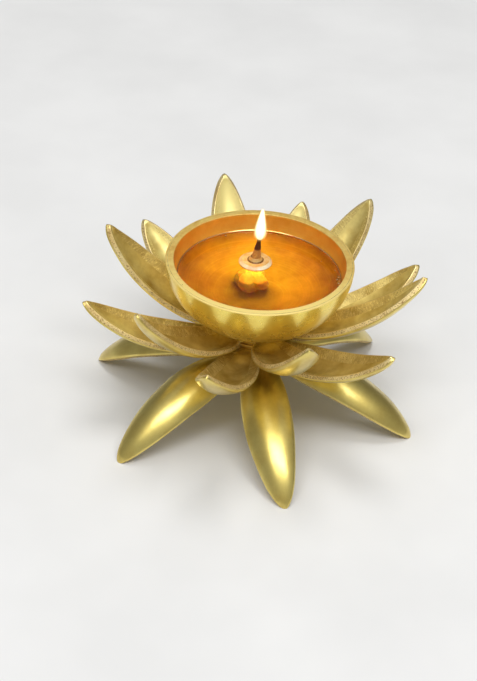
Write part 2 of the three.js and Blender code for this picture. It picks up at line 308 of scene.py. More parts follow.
    def _pits(self, tree: Tree, place: Socket, surface: Surface) -> Surface:
        """Sink a few dark pinholes, as gas leaves in a casting.

        Args:
            tree: The material's tree.
            place: Object coordinates.
            surface: The surface so far.

        Returns:
            The surface with the pinholes in it.
        """
        cells = add_node(tree, "ShaderNodeTexVoronoi", values={
            "Scale": per_mm(self.pit_spacing_mm),
        }, links={"Vector": place})
        chosen = add_node(tree, "ShaderNodeMath", {"operation": "LESS_THAN"}, {1: self.pit_share}, {
            0: cells.outputs["Color"],
        })
        rim = self.pit_radius_mm / self.pit_spacing_mm
        hole = add_node(tree, "ShaderNodeMapRange", values={
            "From Min": rim, "From Max": rim * self.pit_floor, "To Min": 0.0, "To Max": 1.0,
        }, links={"Value": cells.outputs["Distance"]})
        mask = add_node(tree, "ShaderNodeMath", {"operation": "MULTIPLY"}, links={
            0: chosen.outputs[0], 1: hole.outputs["Result"],
        }).outputs[0]
        return self._sink(tree, mask, self.pit_colour, self.pit_depth_mm, surface)

    def _speckle(self, tree: Tree, place: Socket, surface: Surface) -> Surface:
        """Leave brown specks where the file has not reached the cast skin.

        Args:
            tree: The material's tree.
            place: Object coordinates.
            surface: The surface so far.

        Returns:
            The surface with the specks in it.
        """
        grains = add_node(tree, "ShaderNodeTexNoise", values={
            "Scale": per_mm(self.speckle_mm), "Detail": 2.0, "Roughness": 0.7,
        }, links={"Vector": place}).outputs["Fac"]
        first = 0.62     # noise level of the rarest specks
        gain = 0.2       # how far a full share of them brings that down
        edge = 0.06      # how soft a speck's edge is
        deepest = 0.85
        low = first - gain * self.speckle_share
        mask = add_node(tree, "ShaderNodeMapRange", values={
            "From Min": low, "From Max": low + edge, "To Min": 0.0, "To Max": deepest,
        }, links={"Value": grains}).outputs["Result"]
        return self._sink(tree, mask, self.speckle_colour, self.speckle_depth_mm, surface)

    def _sink(self, tree: Tree, mask: Socket, dark: str, depth_mm: float, surface: Surface) -> Surface:
        """Sink and darken the surface by a mask.

        Args:
            tree: The material's tree.
            mask: The mask, 1 at the deepest.
            dark: The colour at the bottom.
            depth_mm: How deep it goes.
            surface: The surface so far.

        Returns:
            The surface with the mask worked in.
        """
        colour = add_node(tree, "ShaderNodeMix", {"data_type": "RGBA"}, {"B": linear(dark)}, {
            "Factor": mask, "A": surface.colour,
        })
        gloss = add_node(tree, "ShaderNodeMix", {"data_type": "FLOAT"}, {3: self.skin_roughness}, {
            0: mask, 2: surface.gloss,
        })
        sunk = add_node(tree, "ShaderNodeBump", {"invert": True}, {
            "Strength": 1.0, "Distance": depth_mm * MM,
        }, {"Height": mask, "Normal": surface.normal})
        return Surface(colour.outputs["Result"], gloss.outputs[0], sunk.outputs["Normal"])


# Meshes

def eased(share: float) -> float:
    """Return a share from 0 to 1 with a soft start and a soft end."""
    return share * share * (3 - 2 * share)


def rounded(start: Vector, corner: Vector, end: Vector, share: float) -> Vector:
    """Return the place at a share of the way round a corner, from start to end."""
    return start * (1 - share) ** 2 + corner * 2 * share * (1 - share) + end * share ** 2


@dataclass
class Skin:
    """A mesh under construction: points, faces, each face's finish and each point's grain places."""

    points: list[Vector] = field(default_factory=list)
    faces: list[tuple[int, ...]] = field(default_factory=list)
    finishes: list[int] = field(default_factory=list)
    along: list[float] = field(default_factory=list)
    across: list[float] = field(default_factory=list)

    def add_point(self, point: Vector, along: float = 0.0, across: float = 0.0) -> int:
        """Add a point.

        Args:
            point: Its place in metres.
            along: Its place along the piece, for the grain.
            across: Its place across the piece, for the grain.

        Returns:
            Its number.
        """
        self.points.append(point)
        self.along.append(along)
        self.across.append(across)
        return len(self.points) - 1

    def add_face(self, corners: tuple[int, ...], finish: int = 0) -> None:
        """Add a face that wears one of the piece's finishes."""
        self.faces.append(corners)
        self.finishes.append(finish)

    def join(self, other: "Skin") -> None:
        """Take in another skin's points and faces.

        Args:
            other: The skin to take in.
        """
        start = len(self.points)
        self.points += other.points
        self.along += other.along
        self.across += other.across
        for corners, finish in zip(other.faces, other.finishes):
            self.add_face(tuple(corner + start for corner in corners), finish)

    def add_rings(self, rings: list[list[int]], finishes: list[int], closed: bool = True) -> None:
        """Skin over rings of equal count.

        Args:
            rings: Point numbers of each ring, anticlockwise seen from the far end.
            finishes: Finish of each strip between two neighbours on a ring.
            closed: Whether each ring joins up with itself.
        """
        count = len(rings[0])
        for near, far in zip(rings, rings[1:]):
            for j in range(count if closed else count - 1):
                k = (j + 1) % count
                self.add_face((near[j], near[k], far[k], far[j]), finishes[j])

    def build(self, name: str, finishes: list[Material], sharp_degrees: float = 40.0) -> Piece:
        """Make the Blender object.

        Args:
            name: The piece's name.
            finishes: The materials that the faces' finish numbers refer to.
            sharp_degrees: Edges sharper than this are drawn sharp.

        Returns:
            The object, linked to the scene.
        """
        mesh = bpy.data.meshes.new(name)
        mesh.from_pydata([tuple(p) for p in self.points], [], self.faces)
        for material in finishes:
            mesh.materials.append(material)
        mesh.polygons.foreach_set("material_index", self.finishes)
        mesh.polygons.foreach_set("use_smooth", [True] * len(self.faces))
        for label, values in (("along", self.along), ("across", self.across)):
            mesh.attributes.new(label, "FLOAT", "POINT").data.foreach_set("value", values)
        mesh.update()
        mesh.set_sharp_from_angle(angle=math.radians(sharp_degrees))
        piece = bpy.data.objects.new(name, mesh)
        bpy.context.scene.collection.objects.link(piece)
        return piece


def softened(profile: list[Point2], radius: float, steps: int = 3) -> list[Point2]:
    """Round every inner corner of an open profile, with a point on each side that keeps flats flat.

    Args:
        profile: Corner points.
        radius: How far back from a corner the round starts.
        steps: Facets in each round.

    Returns:
        The rounded profile.
    """
    most = 0.4       # share of a side that one round may take
    guard = 1.25     # how much further back than the round its guard points stand
    made = [Vector(profile[0])]
    for before, corner, after in zip(profile, profile[1:], profile[2:]):
        here = Vector(corner)
        back, ahead = Vector(before) - here, Vector(after) - here
        reach = min(radius, back.length * most, ahead.length * most)
        back *= reach / back.length
        ahead *= reach / ahead.length
        made.append(here + back * guard)
        made += [rounded(here + back, here, here + ahead, i / steps) for i in range(steps + 1)]
        made.append(here + ahead * guard)
    made.append(Vector(profile[-1]))
    return [(p.x, p.y) for p in made]


def turned(
    profile: list[Point2],
    segments: int,
    finish_of: Callable[[float, float], int] | None = None,
    centre: Vector = Vector((0, 0, 0)),
) -> Skin:
    """Turn a profile about an upright axis, as a lathe does. Sizes in millimetres.

    Args:
        profile: Radius and height of each point, up the outside and back down the inside.
        segments: Facets round the axis.
        finish_of: Gives a strip's finish from the radius and height of its middle.
        centre: A point on the axis.

    Returns:
        The skin in metres, closed at the axis wherever the profile touches it.
    """
    skin = Skin()
    rings: list[list[int]] = []
    travelled = 0.0
    for i, (radius, height) in enumerate(profile):
        if i:
            travelled += math.dist(profile[i - 1], profile[i])
        if radius < HAIR:
            pole = skin.add_point((centre + Vector((0, 0, height))) * MM, 0.0, travelled * MM)
            rings.append([pole] * segments)
            continue
        ring = []
        for j in range(segments):
            angle = 2 * math.pi * j / segments
            out = Vector((radius * math.cos(angle), radius * math.sin(angle), height))
            ring.append(skin.add_point((centre + out) * MM, radius * angle * MM, travelled * MM))
        rings.append(ring)
    for (r0, z0), (r1, z1), near, far in zip(profile, profile[1:], rings, rings[1:]):
        finish = finish_of((r0 + r1) / 2, (z0 + z1) / 2) if finish_of else 0
        for j in range(segments):
            k = (j + 1) % segments
            corners = tuple(dict.fromkeys((near[j], near[k], far[k], far[j])))
            if len(corners) > 2:
                skin.add_face(corners, finish)
    return skin


def place_piece(piece: Piece, body: str, slot: str | None, *nodes: str) -> Piece:
    """Make a piece ride on its body and stand for its solids, and report it.

    Args:
        piece: The piece, in place.
        body: The body that it moves with.
        slot: Not used.
        nodes: The solids that it stands for.

    Returns:
        The same piece.
    """
    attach(piece, body)
    if nodes:
        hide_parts(*nodes)
    log.info("%s: %d faces", piece.name, len(piece.data.polygons))
    return piece


# Petals

class Zone(Enum):
    """The worked surfaces of a petal, in the order of its finishes."""

    BACK = 0      # rounded and buffed
    EDGE = 1      # filed side edge
    RIDGE = 2     # burnished corner between edge and face
    FACE = 3      # dished and satin
    MARGIN = 4    # outer part of the face, left with the file's short strokes


@dataclass
class PetalCasting:
    """The one petal casting, laid along +X from its neck, face up. Sizes in millimetres."""

    length: float = 83.0
    width: float = 27.0
    bend: float = 45.0               # degrees along its length
    widest: float = 0.37             # share of the length where it is widest
    fullness: float = 0.57           # how round its outline is
    neck: float = 0.0185             # how open its outline is where it meets the tang
    depth: float = 6.0               # of the rounded back
    depth_taper: float = 1.4
    wall: float = 3.2
    dish_start: float = 0.12         # share of the length over which the dish sinks in
    edge_height: float = 2.8
    edge_slant: float = 1.6
    edge_share: float = 0.35         # most of the half width that the slant may take
    edge_left: float = 0.7           # share of the edge's height that is left at the tip
    tang: float = 4.0
    ridge_round: float = 0.45        # burnished corner
    ridge_most: float = 0.2          # share of the face that it may take
    back_round: float = 0.9          # where the buffing wheel has taken the lower corner off
    back_most: float = 0.3           # share of the back that it may take
    edge_rounds: Point2 = (0.35, 0.3)    # most of the edge that its lower and upper rounds may take
    outline_error: float = 0.25      # how far hand work strays: in the outline,
    slant_error: float = 0.35        # in the edge's slant,
    height_error: float = 0.1        # and in the edge's height, as a share of it
    error_waves: float = 5.0         # over the length
    error_steps: Point2 = (7.3, 3.1)     # keep two channels' and two petals' errors apart
    true_tip: float = 6.0            # the outline runs true again in one part of so many at the tip
    true_width: float = 3.0          # half width under which the edge's height runs true again
    crowding: float = 1.7            # how much closer the stations stand towards the tip
    stations: int = 84
    back_steps: int = 26
    face_steps: int = 20
    margin_steps: int = 4            # of them, on each side, that the file has worked
    edge_steps: int = 4
    round_steps: int = 4

    def half_width(self, t: float) -> float:
        """Return half the petal's width.

        Args:
            t: Share of the length.

        Returns:
            The half width there.
        """
        rise = self.fullness * (self.widest + self.neck) / (1 - self.widest)
        opening = ((t + self.neck) / (self.widest + self.neck)) ** rise
        closing = max(0.0, (1 - t) / (1 - self.widest)) ** self.fullness
        return self.width / 2 * opening * closing

    def back_depth(self, t: float) -> float:
        """Return how far the rounded back falls below the side edges."""
        return self.depth * (2 * self.half_width(t) / self.width) ** self.depth_taper

    def edge_at(self, slant: float) -> float:
        """Return the side edge's height where it leans out so far."""
        return self.edge_height * (self.edge_left + (1 - self.edge_left) * slant / self.edge_slant)

    def drawn_back(self, t: float) -> float:
        """Return how far the face is drawn back from the tip at a share of the length."""
        return self.edge_slant * self.edge_left * max(0.0, (t - self.widest) / (1 - self.widest))

    def neck_depth(self) -> float:
        """Return the petal's full depth at its neck."""
        return self.edge_height + self.back_depth(0)

    def face_share(self, ridge: float) -> float:
        """Return the share of the face's half width that its burnished corner leaves."""
        return 1 - min(self.ridge_round / max(ridge, 1.0), self.ridge_most)

    def section(self, t: float, wobble: Callable[[float, float], float]) -> list[tuple[Vector, Zone]]:
        """Return one section, from the right lower corner round the back and over the face.

        Args:
            t: Share of the length.
            wobble: Hand-work error from -1 to 1 for a length share and a channel number.

        Returns:
            Each point's way back along the petal, sideways place and height, with the zone of the
            strip after it. Towards the tip the face is drawn back, so that the edge runs round it.
        """
        half = self.half_width(t) + self.outline_error * wobble(t, 0.0) * min(1.0, self.true_tip * (1 - t))
        fade = min(1.0, half / self.true_width)
        corners = {}
        for side in (-1, 1):
            slant = min(self.edge_slant + self.slant_error * wobble(t, 2.0 + side), half * self.edge_share)
            edge = self.edge_at(slant) * (1 + self.height_error * wobble(t, 5.0 + side) * fade)
            corners[side] = (half - slant, edge)
        edge = (corners[-1][1] + corners[1][1]) / 2
        back = self.back_depth(t)
        dish = max(0.0, edge + back - self.wall) * eased(min(1.0, t / self.dish_start))
        drawn = -self.drawn_back(t)
        points: list[tuple[Vector, Zone]] = []

        def back_height(share: float) -> float:
            """Return the back's height at a share of the half width."""
            side_edge = corners[-1][1] * (1 - share) / 2 + corners[1][1] * (1 + share) / 2
            return -side_edge - back * (1 - share * share)

        inset = min(self.back_round / max(half, HAIR), self.back_most)
        for i in range(self.back_steps + 1):
            share = (2 * i / self.back_steps - 1) * (1 - inset)
            points.append((Vector((0, half * share, back_height(share))), Zone.BACK))
        points += self._side(1, half, corners[1], inset, back_height, dish, drawn)
        for i in range(1, self.face_steps):
            share = (1 - 2 * i / self.face_steps) * self.face_share(corners[1][0])
            ridge = corners[1][0] if share > 0 else corners[-1][0]
            margin = i < self.margin_steps or i >= self.face_steps - self.margin_steps
            points.append((
                Vector((drawn, ridge * share, -dish * (1 - share * share))), Zone.MARGIN if margin else Zone.FACE))
        mirrored = self._side(-1, half, corners[-1], inset, back_height, dish, drawn)[::-1]
        zones = [Zone.RIDGE] * self.round_steps + [Zone.EDGE] * self.edge_steps + [Zone.BACK] * self.round_steps
        points += [(point, zone) for (point, _), zone in zip(mirrored[:-1], zones)]
        return points

    def _side(
        self, side: int, half: float, corner: Point2, inset: float,
        back_height: Callable[[float], float], dish: float, drawn: float,
    ) -> list[tuple[Vector, Zone]]:
        """Return the points from the back, up one side edge and over its ridge onto the face.

        Args:
            side: 1 for the left side and -1 for the right.
            half: Half the petal's width.
            corner: Sideways place of the ridge, and the edge's height.
            inset: Share of the half width that the back's round takes.
            back_height: Gives the back's height at a share of the half width.
            dish: How deep the face is.
            drawn: How far the face is drawn back.

        Returns:
            Each point with the zone of the strip after it.
        """
        ridge, edge = corner
        low = Vector((0.0, half, -edge))
        high = Vector((drawn, ridge, 0.0))
        start = Vector((0.0, half * (1 - inset), back_height(1 - inset)))
        rise = (high - low).normalized()
        height = (high - low).length
        foot = low + rise * min(self.back_round, height * self.edge_rounds[0])
        crest = high - rise * min(self.ridge_round, height * self.edge_rounds[1])
        share = self.face_share(ridge)
        finish = Vector((drawn, ridge * share, -dish * (1 - share * share)))
        made: list[tuple[Vector, Zone]] = []
        for i in range(1, self.round_steps + 1):
            made.append((
                rounded(start, low, foot, i / self.round_steps), Zone.BACK if i < self.round_steps else Zone.EDGE))
        for i in range(1, self.edge_steps + 1):
            made.append((foot.lerp(crest, i / self.edge_steps), Zone.EDGE if i < self.edge_steps else Zone.RIDGE))
        for i in range(1, self.round_steps + 1):
            made.append((
                rounded(crest, high, finish, i / self.round_steps),
                Zone.RIDGE if i < self.round_steps else Zone.MARGIN))
        return [(Vector((p.x, side * p.y, p.z)), zone) for p, zone in made]

    def middle(self, t: float) -> tuple[float, float, float]:
        """Return where the middle line runs.

        Args:
            t: Share of the length.

        Returns:
            Its place along, its height and its slope there.
        """
        bend = math.radians(self.bend)
        radius = self.length / bend
        angle = bend * (t - 0.5)
        along = radius * (math.sin(angle) + math.sin(bend / 2))
        up = radius * (math.cos(bend / 2) - math.cos(angle))
        return along, up, angle

    def skin(self, matrix: Matrix, seed: float) -> Skin:
        """Build the casting's skin.

        Args:
            matrix: Places the casting in the frame, in millimetres.
            seed: Picks this casting's own hand-work errors.

        Returns:
            The skin in metres, closed at the end of its tang and drawn to a point at its tip.
        """
        def wobble(t: float, channel: float) -> float:
            """Return a smooth error from about -1 to 1, unlike that of any other channel or seed."""
            channel_step, seed_step = self.error_steps
            return noise.noise(Vector((t * self.error_waves, channel * channel_step, seed * seed_step)))

        skin = Skin()
        shares = [1 - (1 - i / self.stations) ** self.crowding for i in range(self.stations)]
        places = [(0.0, -self.tang)] + [(t, 0.0) for t in shares]
        rings: list[list[int]] = []
        zones: list[int] = []
        for t, shift in places:
            along, up, angle = self.middle(t)
            along += shift * math.cos(angle)
            up += shift * math.sin(angle)
            section = self.section(t, wobble)
            zones = [zone.value for _, zone in section]
            lean = Matrix.Rotation(-angle, 3, "Y")
            ring = []
            for point, _ in section:
                local = Vector((along, 0, up)) + lean @ point
                ring.append(skin.add_point(
                    matrix @ local * MM, (t * self.length + shift + point.x) * MM + seed, point.y * MM + seed))
            rings.append(ring)
        skin.add_rings(rings, zones)
        along, up, angle = self.middle(1.0)
        end = Vector((-self.edge_slant, 0, -self.edge_height)) * self.edge_left / 2
        local = Vector((along, 0, up)) + Matrix.Rotation(-angle, 3, "Y") @ end
        tip = skin.add_point(matrix @ local * MM, self.length * MM + seed, seed)
        last = rings[-1]
        for j, here in enumerate(last):
            skin.add_face((here, last[(j + 1) % len(last)], tip), zones[j])
        skin.add_face(tuple(reversed(rings[0])), Zone.BACK.value)
        return skin


@dataclass
class PetalTier:
    """One tier of petals brazed round a hub. Angles in degrees, sizes in millimetres."""

    name: str
    first: float
    pitch: float
    ridge: float
    leans: tuple[tuple[int, int, int], ...]
    foot: bool = False
    neck_radius: float = 17.0

    def build(self, casting: PetalCasting, finishes: list[Material], seed: float) -> None:
        """Build, place and report this tier's petals.

        Args:
            casting: The shared casting.
            finishes: Back, edge, ridge, face and margin finishes.
            seed: Start of the tier's hand-work errors.
        """
        for index, (swing, lift, roll) in enumerate(self.leans):
            name = f"{self.name}_{index + 1}"
            azimuth = self.first + index * 360 / len(self.leans) + swing
            over = 180 if self.foot else 0
            pitch = -self.pitch if self.foot else self.pitch
            matrix = (
                Matrix.Rotation(math.radians(azimuth), 4, "Z")
                @ Matrix.Translation((self.neck_radius, 0, self.ridge))
                @ Matrix.Rotation(-math.radians(pitch + lift), 4, "Y")
                @ Matrix.Rotation(math.radians(roll + over), 4, "X")
            )
            piece = casting.skin(matrix, seed + index).build(f"{name}_cast", finishes)
            if self.foot:
                file_flat(piece)
            place_piece(piece, "lamp", "petal_brass", name)


def file_flat(piece: Piece) -> None:
    """File a foot's tip flat to the table, and close the cut.

    Args:
        piece: The petal, in place with its tip below the table's level.
    """
    shape = bmesh.new()
    shape.from_mesh(piece.data)
    everything = shape.verts[:] + shape.edges[:] + shape.faces[:]
    cut = bmesh.ops.bisect_plane(
        shape, geom=everything, plane_co=(0, 0, 0), plane_no=(0, 0, 1), clear_inner=True)
    rim = [edge for edge in cut["geom_cut"] if isinstance(edge, bmesh.types.BMEdge)]
    for face in bmesh.ops.contextual_create(shape, geom=rim)["faces"]:
        face.material_index = Zone.EDGE.value
    shape.to_mesh(piece.data)
    shape.free()


@dataclass
class Flower:
    """The three tiers of petals round their hubs. Angles in degrees, sizes in millimetres."""

    casting: PetalCasting = field(default_factory=PetalCasting)
    upper_rise: float = 1.6          # how far the upper petals' ridges stand over their hub
    seed_step: float = 10.0          # keeps each tier's hand-work errors its own

    def tiers(self) -> list[PetalTier]:
        """Return the tiers, with each petal's own swing, lift and roll.

        Returns:
            The upper, middle and foot tiers.
        """
        foot_low, foot_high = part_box("foot_hub")
        middle_low, middle_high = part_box("middle_hub")
        half_neck = self.casting.neck_depth() / 2
        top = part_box("upper_hub")[1].z / MM + self.upper_rise
        middle = (middle_low.z + middle_high.z) / 2 / MM + half_neck
        foot = (foot_low.z + foot_high.z) / 2 / MM - half_neck
        return [
            PetalTier("upper_petal", -13, 33.5, top, (
                (9, -3, -7), (-2, 2, 10), (-1, -1, 0), (3, 2, -8), (0, 0, -6), (1, 0, 6))),
            PetalTier("middle_petal", 17, 24.0, middle, (
                (1, 1, 4), (-1, 0, -2), (0, -3, -14), (-4, -3, -4), (-1, 3, -4), (3, 1, 7))),
            PetalTier("foot_petal", 43, 23.0, foot, (
                (-1, 0, 6), (0, 0, 0), (1, 0, -7), (0, 0, -8), (1, 0, 16), (1, 0, 8)), foot=True),
        ]

    def build(self, finishes: list[Material]) -> None:
        """Build every petal.

        Args:
            finishes: Back, edge, ridge, face and margin finishes.
        """
        for number, tier in enumerate(self.tiers()):
            tier.build(self.casting, finishes, self.seed_step * (number + 1))


# Bowl

class BowlZone(Enum):
    """The worked surfaces of the bowl, in the order of its finishes."""

    OUTSIDE = 0
    LIP = 1
    INSIDE = 2
    UNDER_OIL = 3
    DARK_LINE = 4


@dataclass
class Bowl:
    """The cast bowl with its turned lip, seat and spigot. Sizes in millimetres."""

    radius: float = 50.0
    depth: float = 40.75
    floor: float = 3.75
    fullness: float = 1.05
    lip: float = 4.4
    lip_round: float = 0.5
    dark_line: Point2 = (1.0, 0.26)    # line round the lip: distance in from the outside, and width
    lip_drawn: float = 0.2           # share of that round by which the lip's flat is drawn in
    lip_band: float = 0.45           # how far down from the rim the file has gone
    wet_rise: float = 0.6            # how far the oil's colour climbs over the disc's foot
    wall_within: float = 1.2         # how far inside the wall and the floor
    floor_within: float = 1.0        # a strip's middle still counts as the inside
    seat_radius: float = 14.0
    spigot_radius: float = 8.0
    seat_gap: float = 0.3            # between its seat and the upper hub
    foot_round: float = 0.4
    segments: int = 192
    steps: int = 40

    def __post_init__(self) -> None:
        """Read the levels from the frame."""
        low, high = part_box("bowl")
        self.rim = high.z / MM
        self.base = low.z / MM
        self.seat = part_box("upper_hub")[1].z / MM + self.seat_gap
        self.inner_radius = self.radius - self.lip
        self.inner_depth = self.depth - self.floor

    def inner_radius_at(self, height: float) -> float:
        """Return the inside radius at a height."""
        sine = min(1.0, max(0.0, (self.rim - height) / self.inner_depth))
        return self.inner_radius * math.sqrt(1 - sine * sine) ** self.fullness

    def inner_height_at(self, radius: float) -> float:
        """Return the inside height at a radius."""
        cosine = (radius / self.inner_radius) ** (1 / self.fullness)
        return self.rim - self.inner_depth * math.sqrt(max(0.0, 1 - cosine * cosine))

    def _curve(self, radius: float, depth: float, start: float, end: float) -> list[Point2]:
        """Return points along one of the bowl's two curves.

        Args:
            radius: The curve's radius at the rim.
            depth: Its depth.
            start: Angle below the rim where it starts.
            end: Angle below the rim where it ends.

        Returns:
            Radius and height of each point.
        """
        points = []
        for i in range(self.steps + 1):
            angle = start + (end - start) * i / self.steps
            points.append((radius * max(0.0, math.cos(angle)) ** self.fullness, self.rim - depth * math.sin(angle)))
        return points

    def build(self, finishes: list[Material]) -> Piece:
        """Build the bowl.

        Args:
            finishes: Outside, lip, inside, oiled and dark-line finishes.

        Returns:
            The bowl.
        """
        seat_angle = math.acos((self.seat_radius / self.radius) ** (1 / self.fullness))
        edge = self.lip_round
        outside = self._curve(self.radius, self.depth, seat_angle, math.asin(edge / self.depth))
        inside = self._curve(self.inner_radius, self.inner_depth, math.asin(edge / self.inner_depth), math.pi / 2)
        foot = softened([
            (0, self.base), (self.spigot_radius, self.base), (self.spigot_radius, self.seat),
            (self.seat_radius, self.seat), outside[0],
        ], self.foot_round)
        line = self.radius - self.dark_line[0]
        drawn = edge * self.lip_drawn
        lip = softened([
            outside[-1], (self.radius - drawn, self.rim), (line, self.rim), (line - self.dark_line[1], self.rim),
            (self.inner_radius + drawn, self.rim), inside[0],
        ], edge)
        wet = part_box("wick_disc")[0].z / MM + self.wet_rise

        def finish_of(radius: float, height: float) -> int:
            """Return the finish of a strip of the bowl.

            Args:
                radius: Radius of the strip's middle.
                height: Its height.

            Returns:
                The number of its zone.
            """
            if height > self.rim - self.lip_band:
                # A strip whose middle is right on a side of the line counts at the inner side only.
                dark_line = -HAIR < radius - line + self.dark_line[1] < self.dark_line[1] - HAIR
                return (BowlZone.DARK_LINE if dark_line else BowlZone.LIP).value
            floor = self.inner_height_at(radius) - self.floor_within
            if radius > self.inner_radius + self.wall_within or height < floor:
                return BowlZone.OUTSIDE.value
            return (BowlZone.UNDER_OIL if height < wet else BowlZone.INSIDE).value

        skin = turned(foot + outside[1:-1] + lip + inside[1:], self.segments, finish_of)
        return place_piece(skin.build("bowl_cast", finishes), "lamp", "bowl_brass", "bowl")


# Hubs, washer and bolt

@dataclass
class Stack:
    """The three hubs, the washer and the bolt that hold the tiers together. Sizes in millimetres."""

    hub_radius: float = 15.6
    hub_chamfer: float = 0.6
    hub_round: float = 0.25
    bolt_radius: float = 4.0
    spigot_radius: float = 8.0
    clearance: float = 0.3           # round the bolt and round the spigot
    recess: float = 3.3
    washer_round: float = 0.35       # rolled over by the punch
    across_flats: float = 13.0
    head_height: float = 5.3
    head_chamfer_degrees: float = 30.0
    crown: float = 0.92              # share of the flats' reach inside the head's chamfer
    crown_step: float = 0.05         # what each of the chamfer's steps adds to it
    crown_steps: int = 5
    broken_edge: float = 0.15
    tip_chamfer: float = 0.6
    segments: int = 144

    def levels(self, node: str) -> tuple[float, float]:
        """Return a node's lowest and highest level in millimetres."""
        low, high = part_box(node)
        return low.z / MM, high.z / MM

    def hub(self, node: str, bore: float, recess: float, finish: Material) -> None:
        """Turn one hub.

        Args:
            node: The solid that it stands for.
            bore: Radius of its hole.
            recess: Depth of the spigot's recess in its top, or 0.
            finish: Its finish.
        """
        base, top = self.levels(node)
        wide = self.spigot_radius + self.clearance
        inside = [(wide, top), (wide, top - recess), (bore, top - recess)] if recess else [(bore, top)]
        corners = [
            (bore, (base + top) / 2), (bore, base), (self.hub_radius - self.hub_chamfer, base),
            (self.hub_radius, base + self.hub_chamfer), (self.hub_radius, top - self.hub_chamfer),
            (self.hub_radius - self.hub_chamfer, top), *inside, (bore, (base + top) / 2),
        ]
        skin = turned(softened(corners, self.hub_round), self.segments)
        place_piece(skin.build(f"{node}_turned", [finish]), "lamp", "hub_brass", node)

    def washer(self, finish: Material) -> None:
        """Stamp the washer, its edges rolled over by the punch.

        Args:
            finish: Its finish.
        """
        base, top = self.levels("washer")
        bore = self.bolt_radius + self.clearance
        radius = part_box("washer")[1].x / MM
        middle = (base + top) / 2
        corners = [(bore, middle), (bore, base), (radius, base), (radius, top), (bore, top), (bore, middle)]
        skin = turned(softened(corners, self.washer_round), self.segments)
        place_piece(skin.build("washer_stamped", [finish]), "lamp", "bolt_steel", "washer")

    def bolt(self, finish: Material) -> None:
        """Make the hexagon bolt, its head chamfered to a round and its shank plain.

        Args:
            finish: Its finish.
        """
        base, tip = self.levels("centre_bolt")
        top = base + self.head_height
        flat = self.across_flats / 2
        fall = math.tan(math.radians(self.head_chamfer_degrees))

        def hexagon(angle: float) -> float:
            """Return the hexagon's radius at an angle."""
            return flat / math.cos((angle + math.pi / 6) % (math.pi / 3) - math.pi / 6)

        rings: list[tuple[Callable[[float], float], float]] = [
            (lambda angle: flat * self.crown, base),
            *[(lambda angle, r=flat * (self.crown + self.crown_step * i): min(hexagon(angle), r),
               base + flat * self.crown_step * i * fall) for i in range(1, self.crown_steps + 1)],
            (hexagon, top - self.broken_edge),
            (lambda angle: hexagon(angle) - self.broken_edge, top),
            (lambda angle: self.bolt_radius, top),
            (lambda angle: self.bolt_radius, tip - self.tip_chamfer),
            (lambda angle: self.bolt_radius - self.tip_chamfer, tip),
        ]
        skin = Skin()
        made = []
        for radius_at, height in rings:
            ring = []
            for j in range(self.segments):
                angle = 2 * math.pi * j / self.segments
                radius = radius_at(angle)
                point = Vector((radius * math.cos(angle), radius * math.sin(angle), height)) * MM
                ring.append(skin.add_point(point, radius * angle * MM, (radius + height) * MM))
            made.append(ring)
        skin.add_rings(made, [0] * self.segments)
        skin.add_face(tuple(reversed(made[0])))
        skin.add_face(tuple(made[-1]))
        place_piece(skin.build("hexagon_bolt", [finish], sharp_degrees=25.0), "lamp", "bolt_steel", "centre_bolt")

    def build(self, brass: Material, zinc: Material) -> None:
        """Build the stack.

        Args:
            brass: The hubs' finish.
            zinc: The bolt's and washer's finish.
        """
        bolt_bore = self.bolt_radius + self.clearance
        self.hub("upper_hub", self.spigot_radius + self.clearance, 0.0, brass)
        self.hub("middle_hub", bolt_bore, self.recess, brass)
        self.hub("foot_hub", bolt_bore, 0.0, brass)
        self.washer(zinc)
        self.bolt(zinc)


# Oil, wick, disc and flame

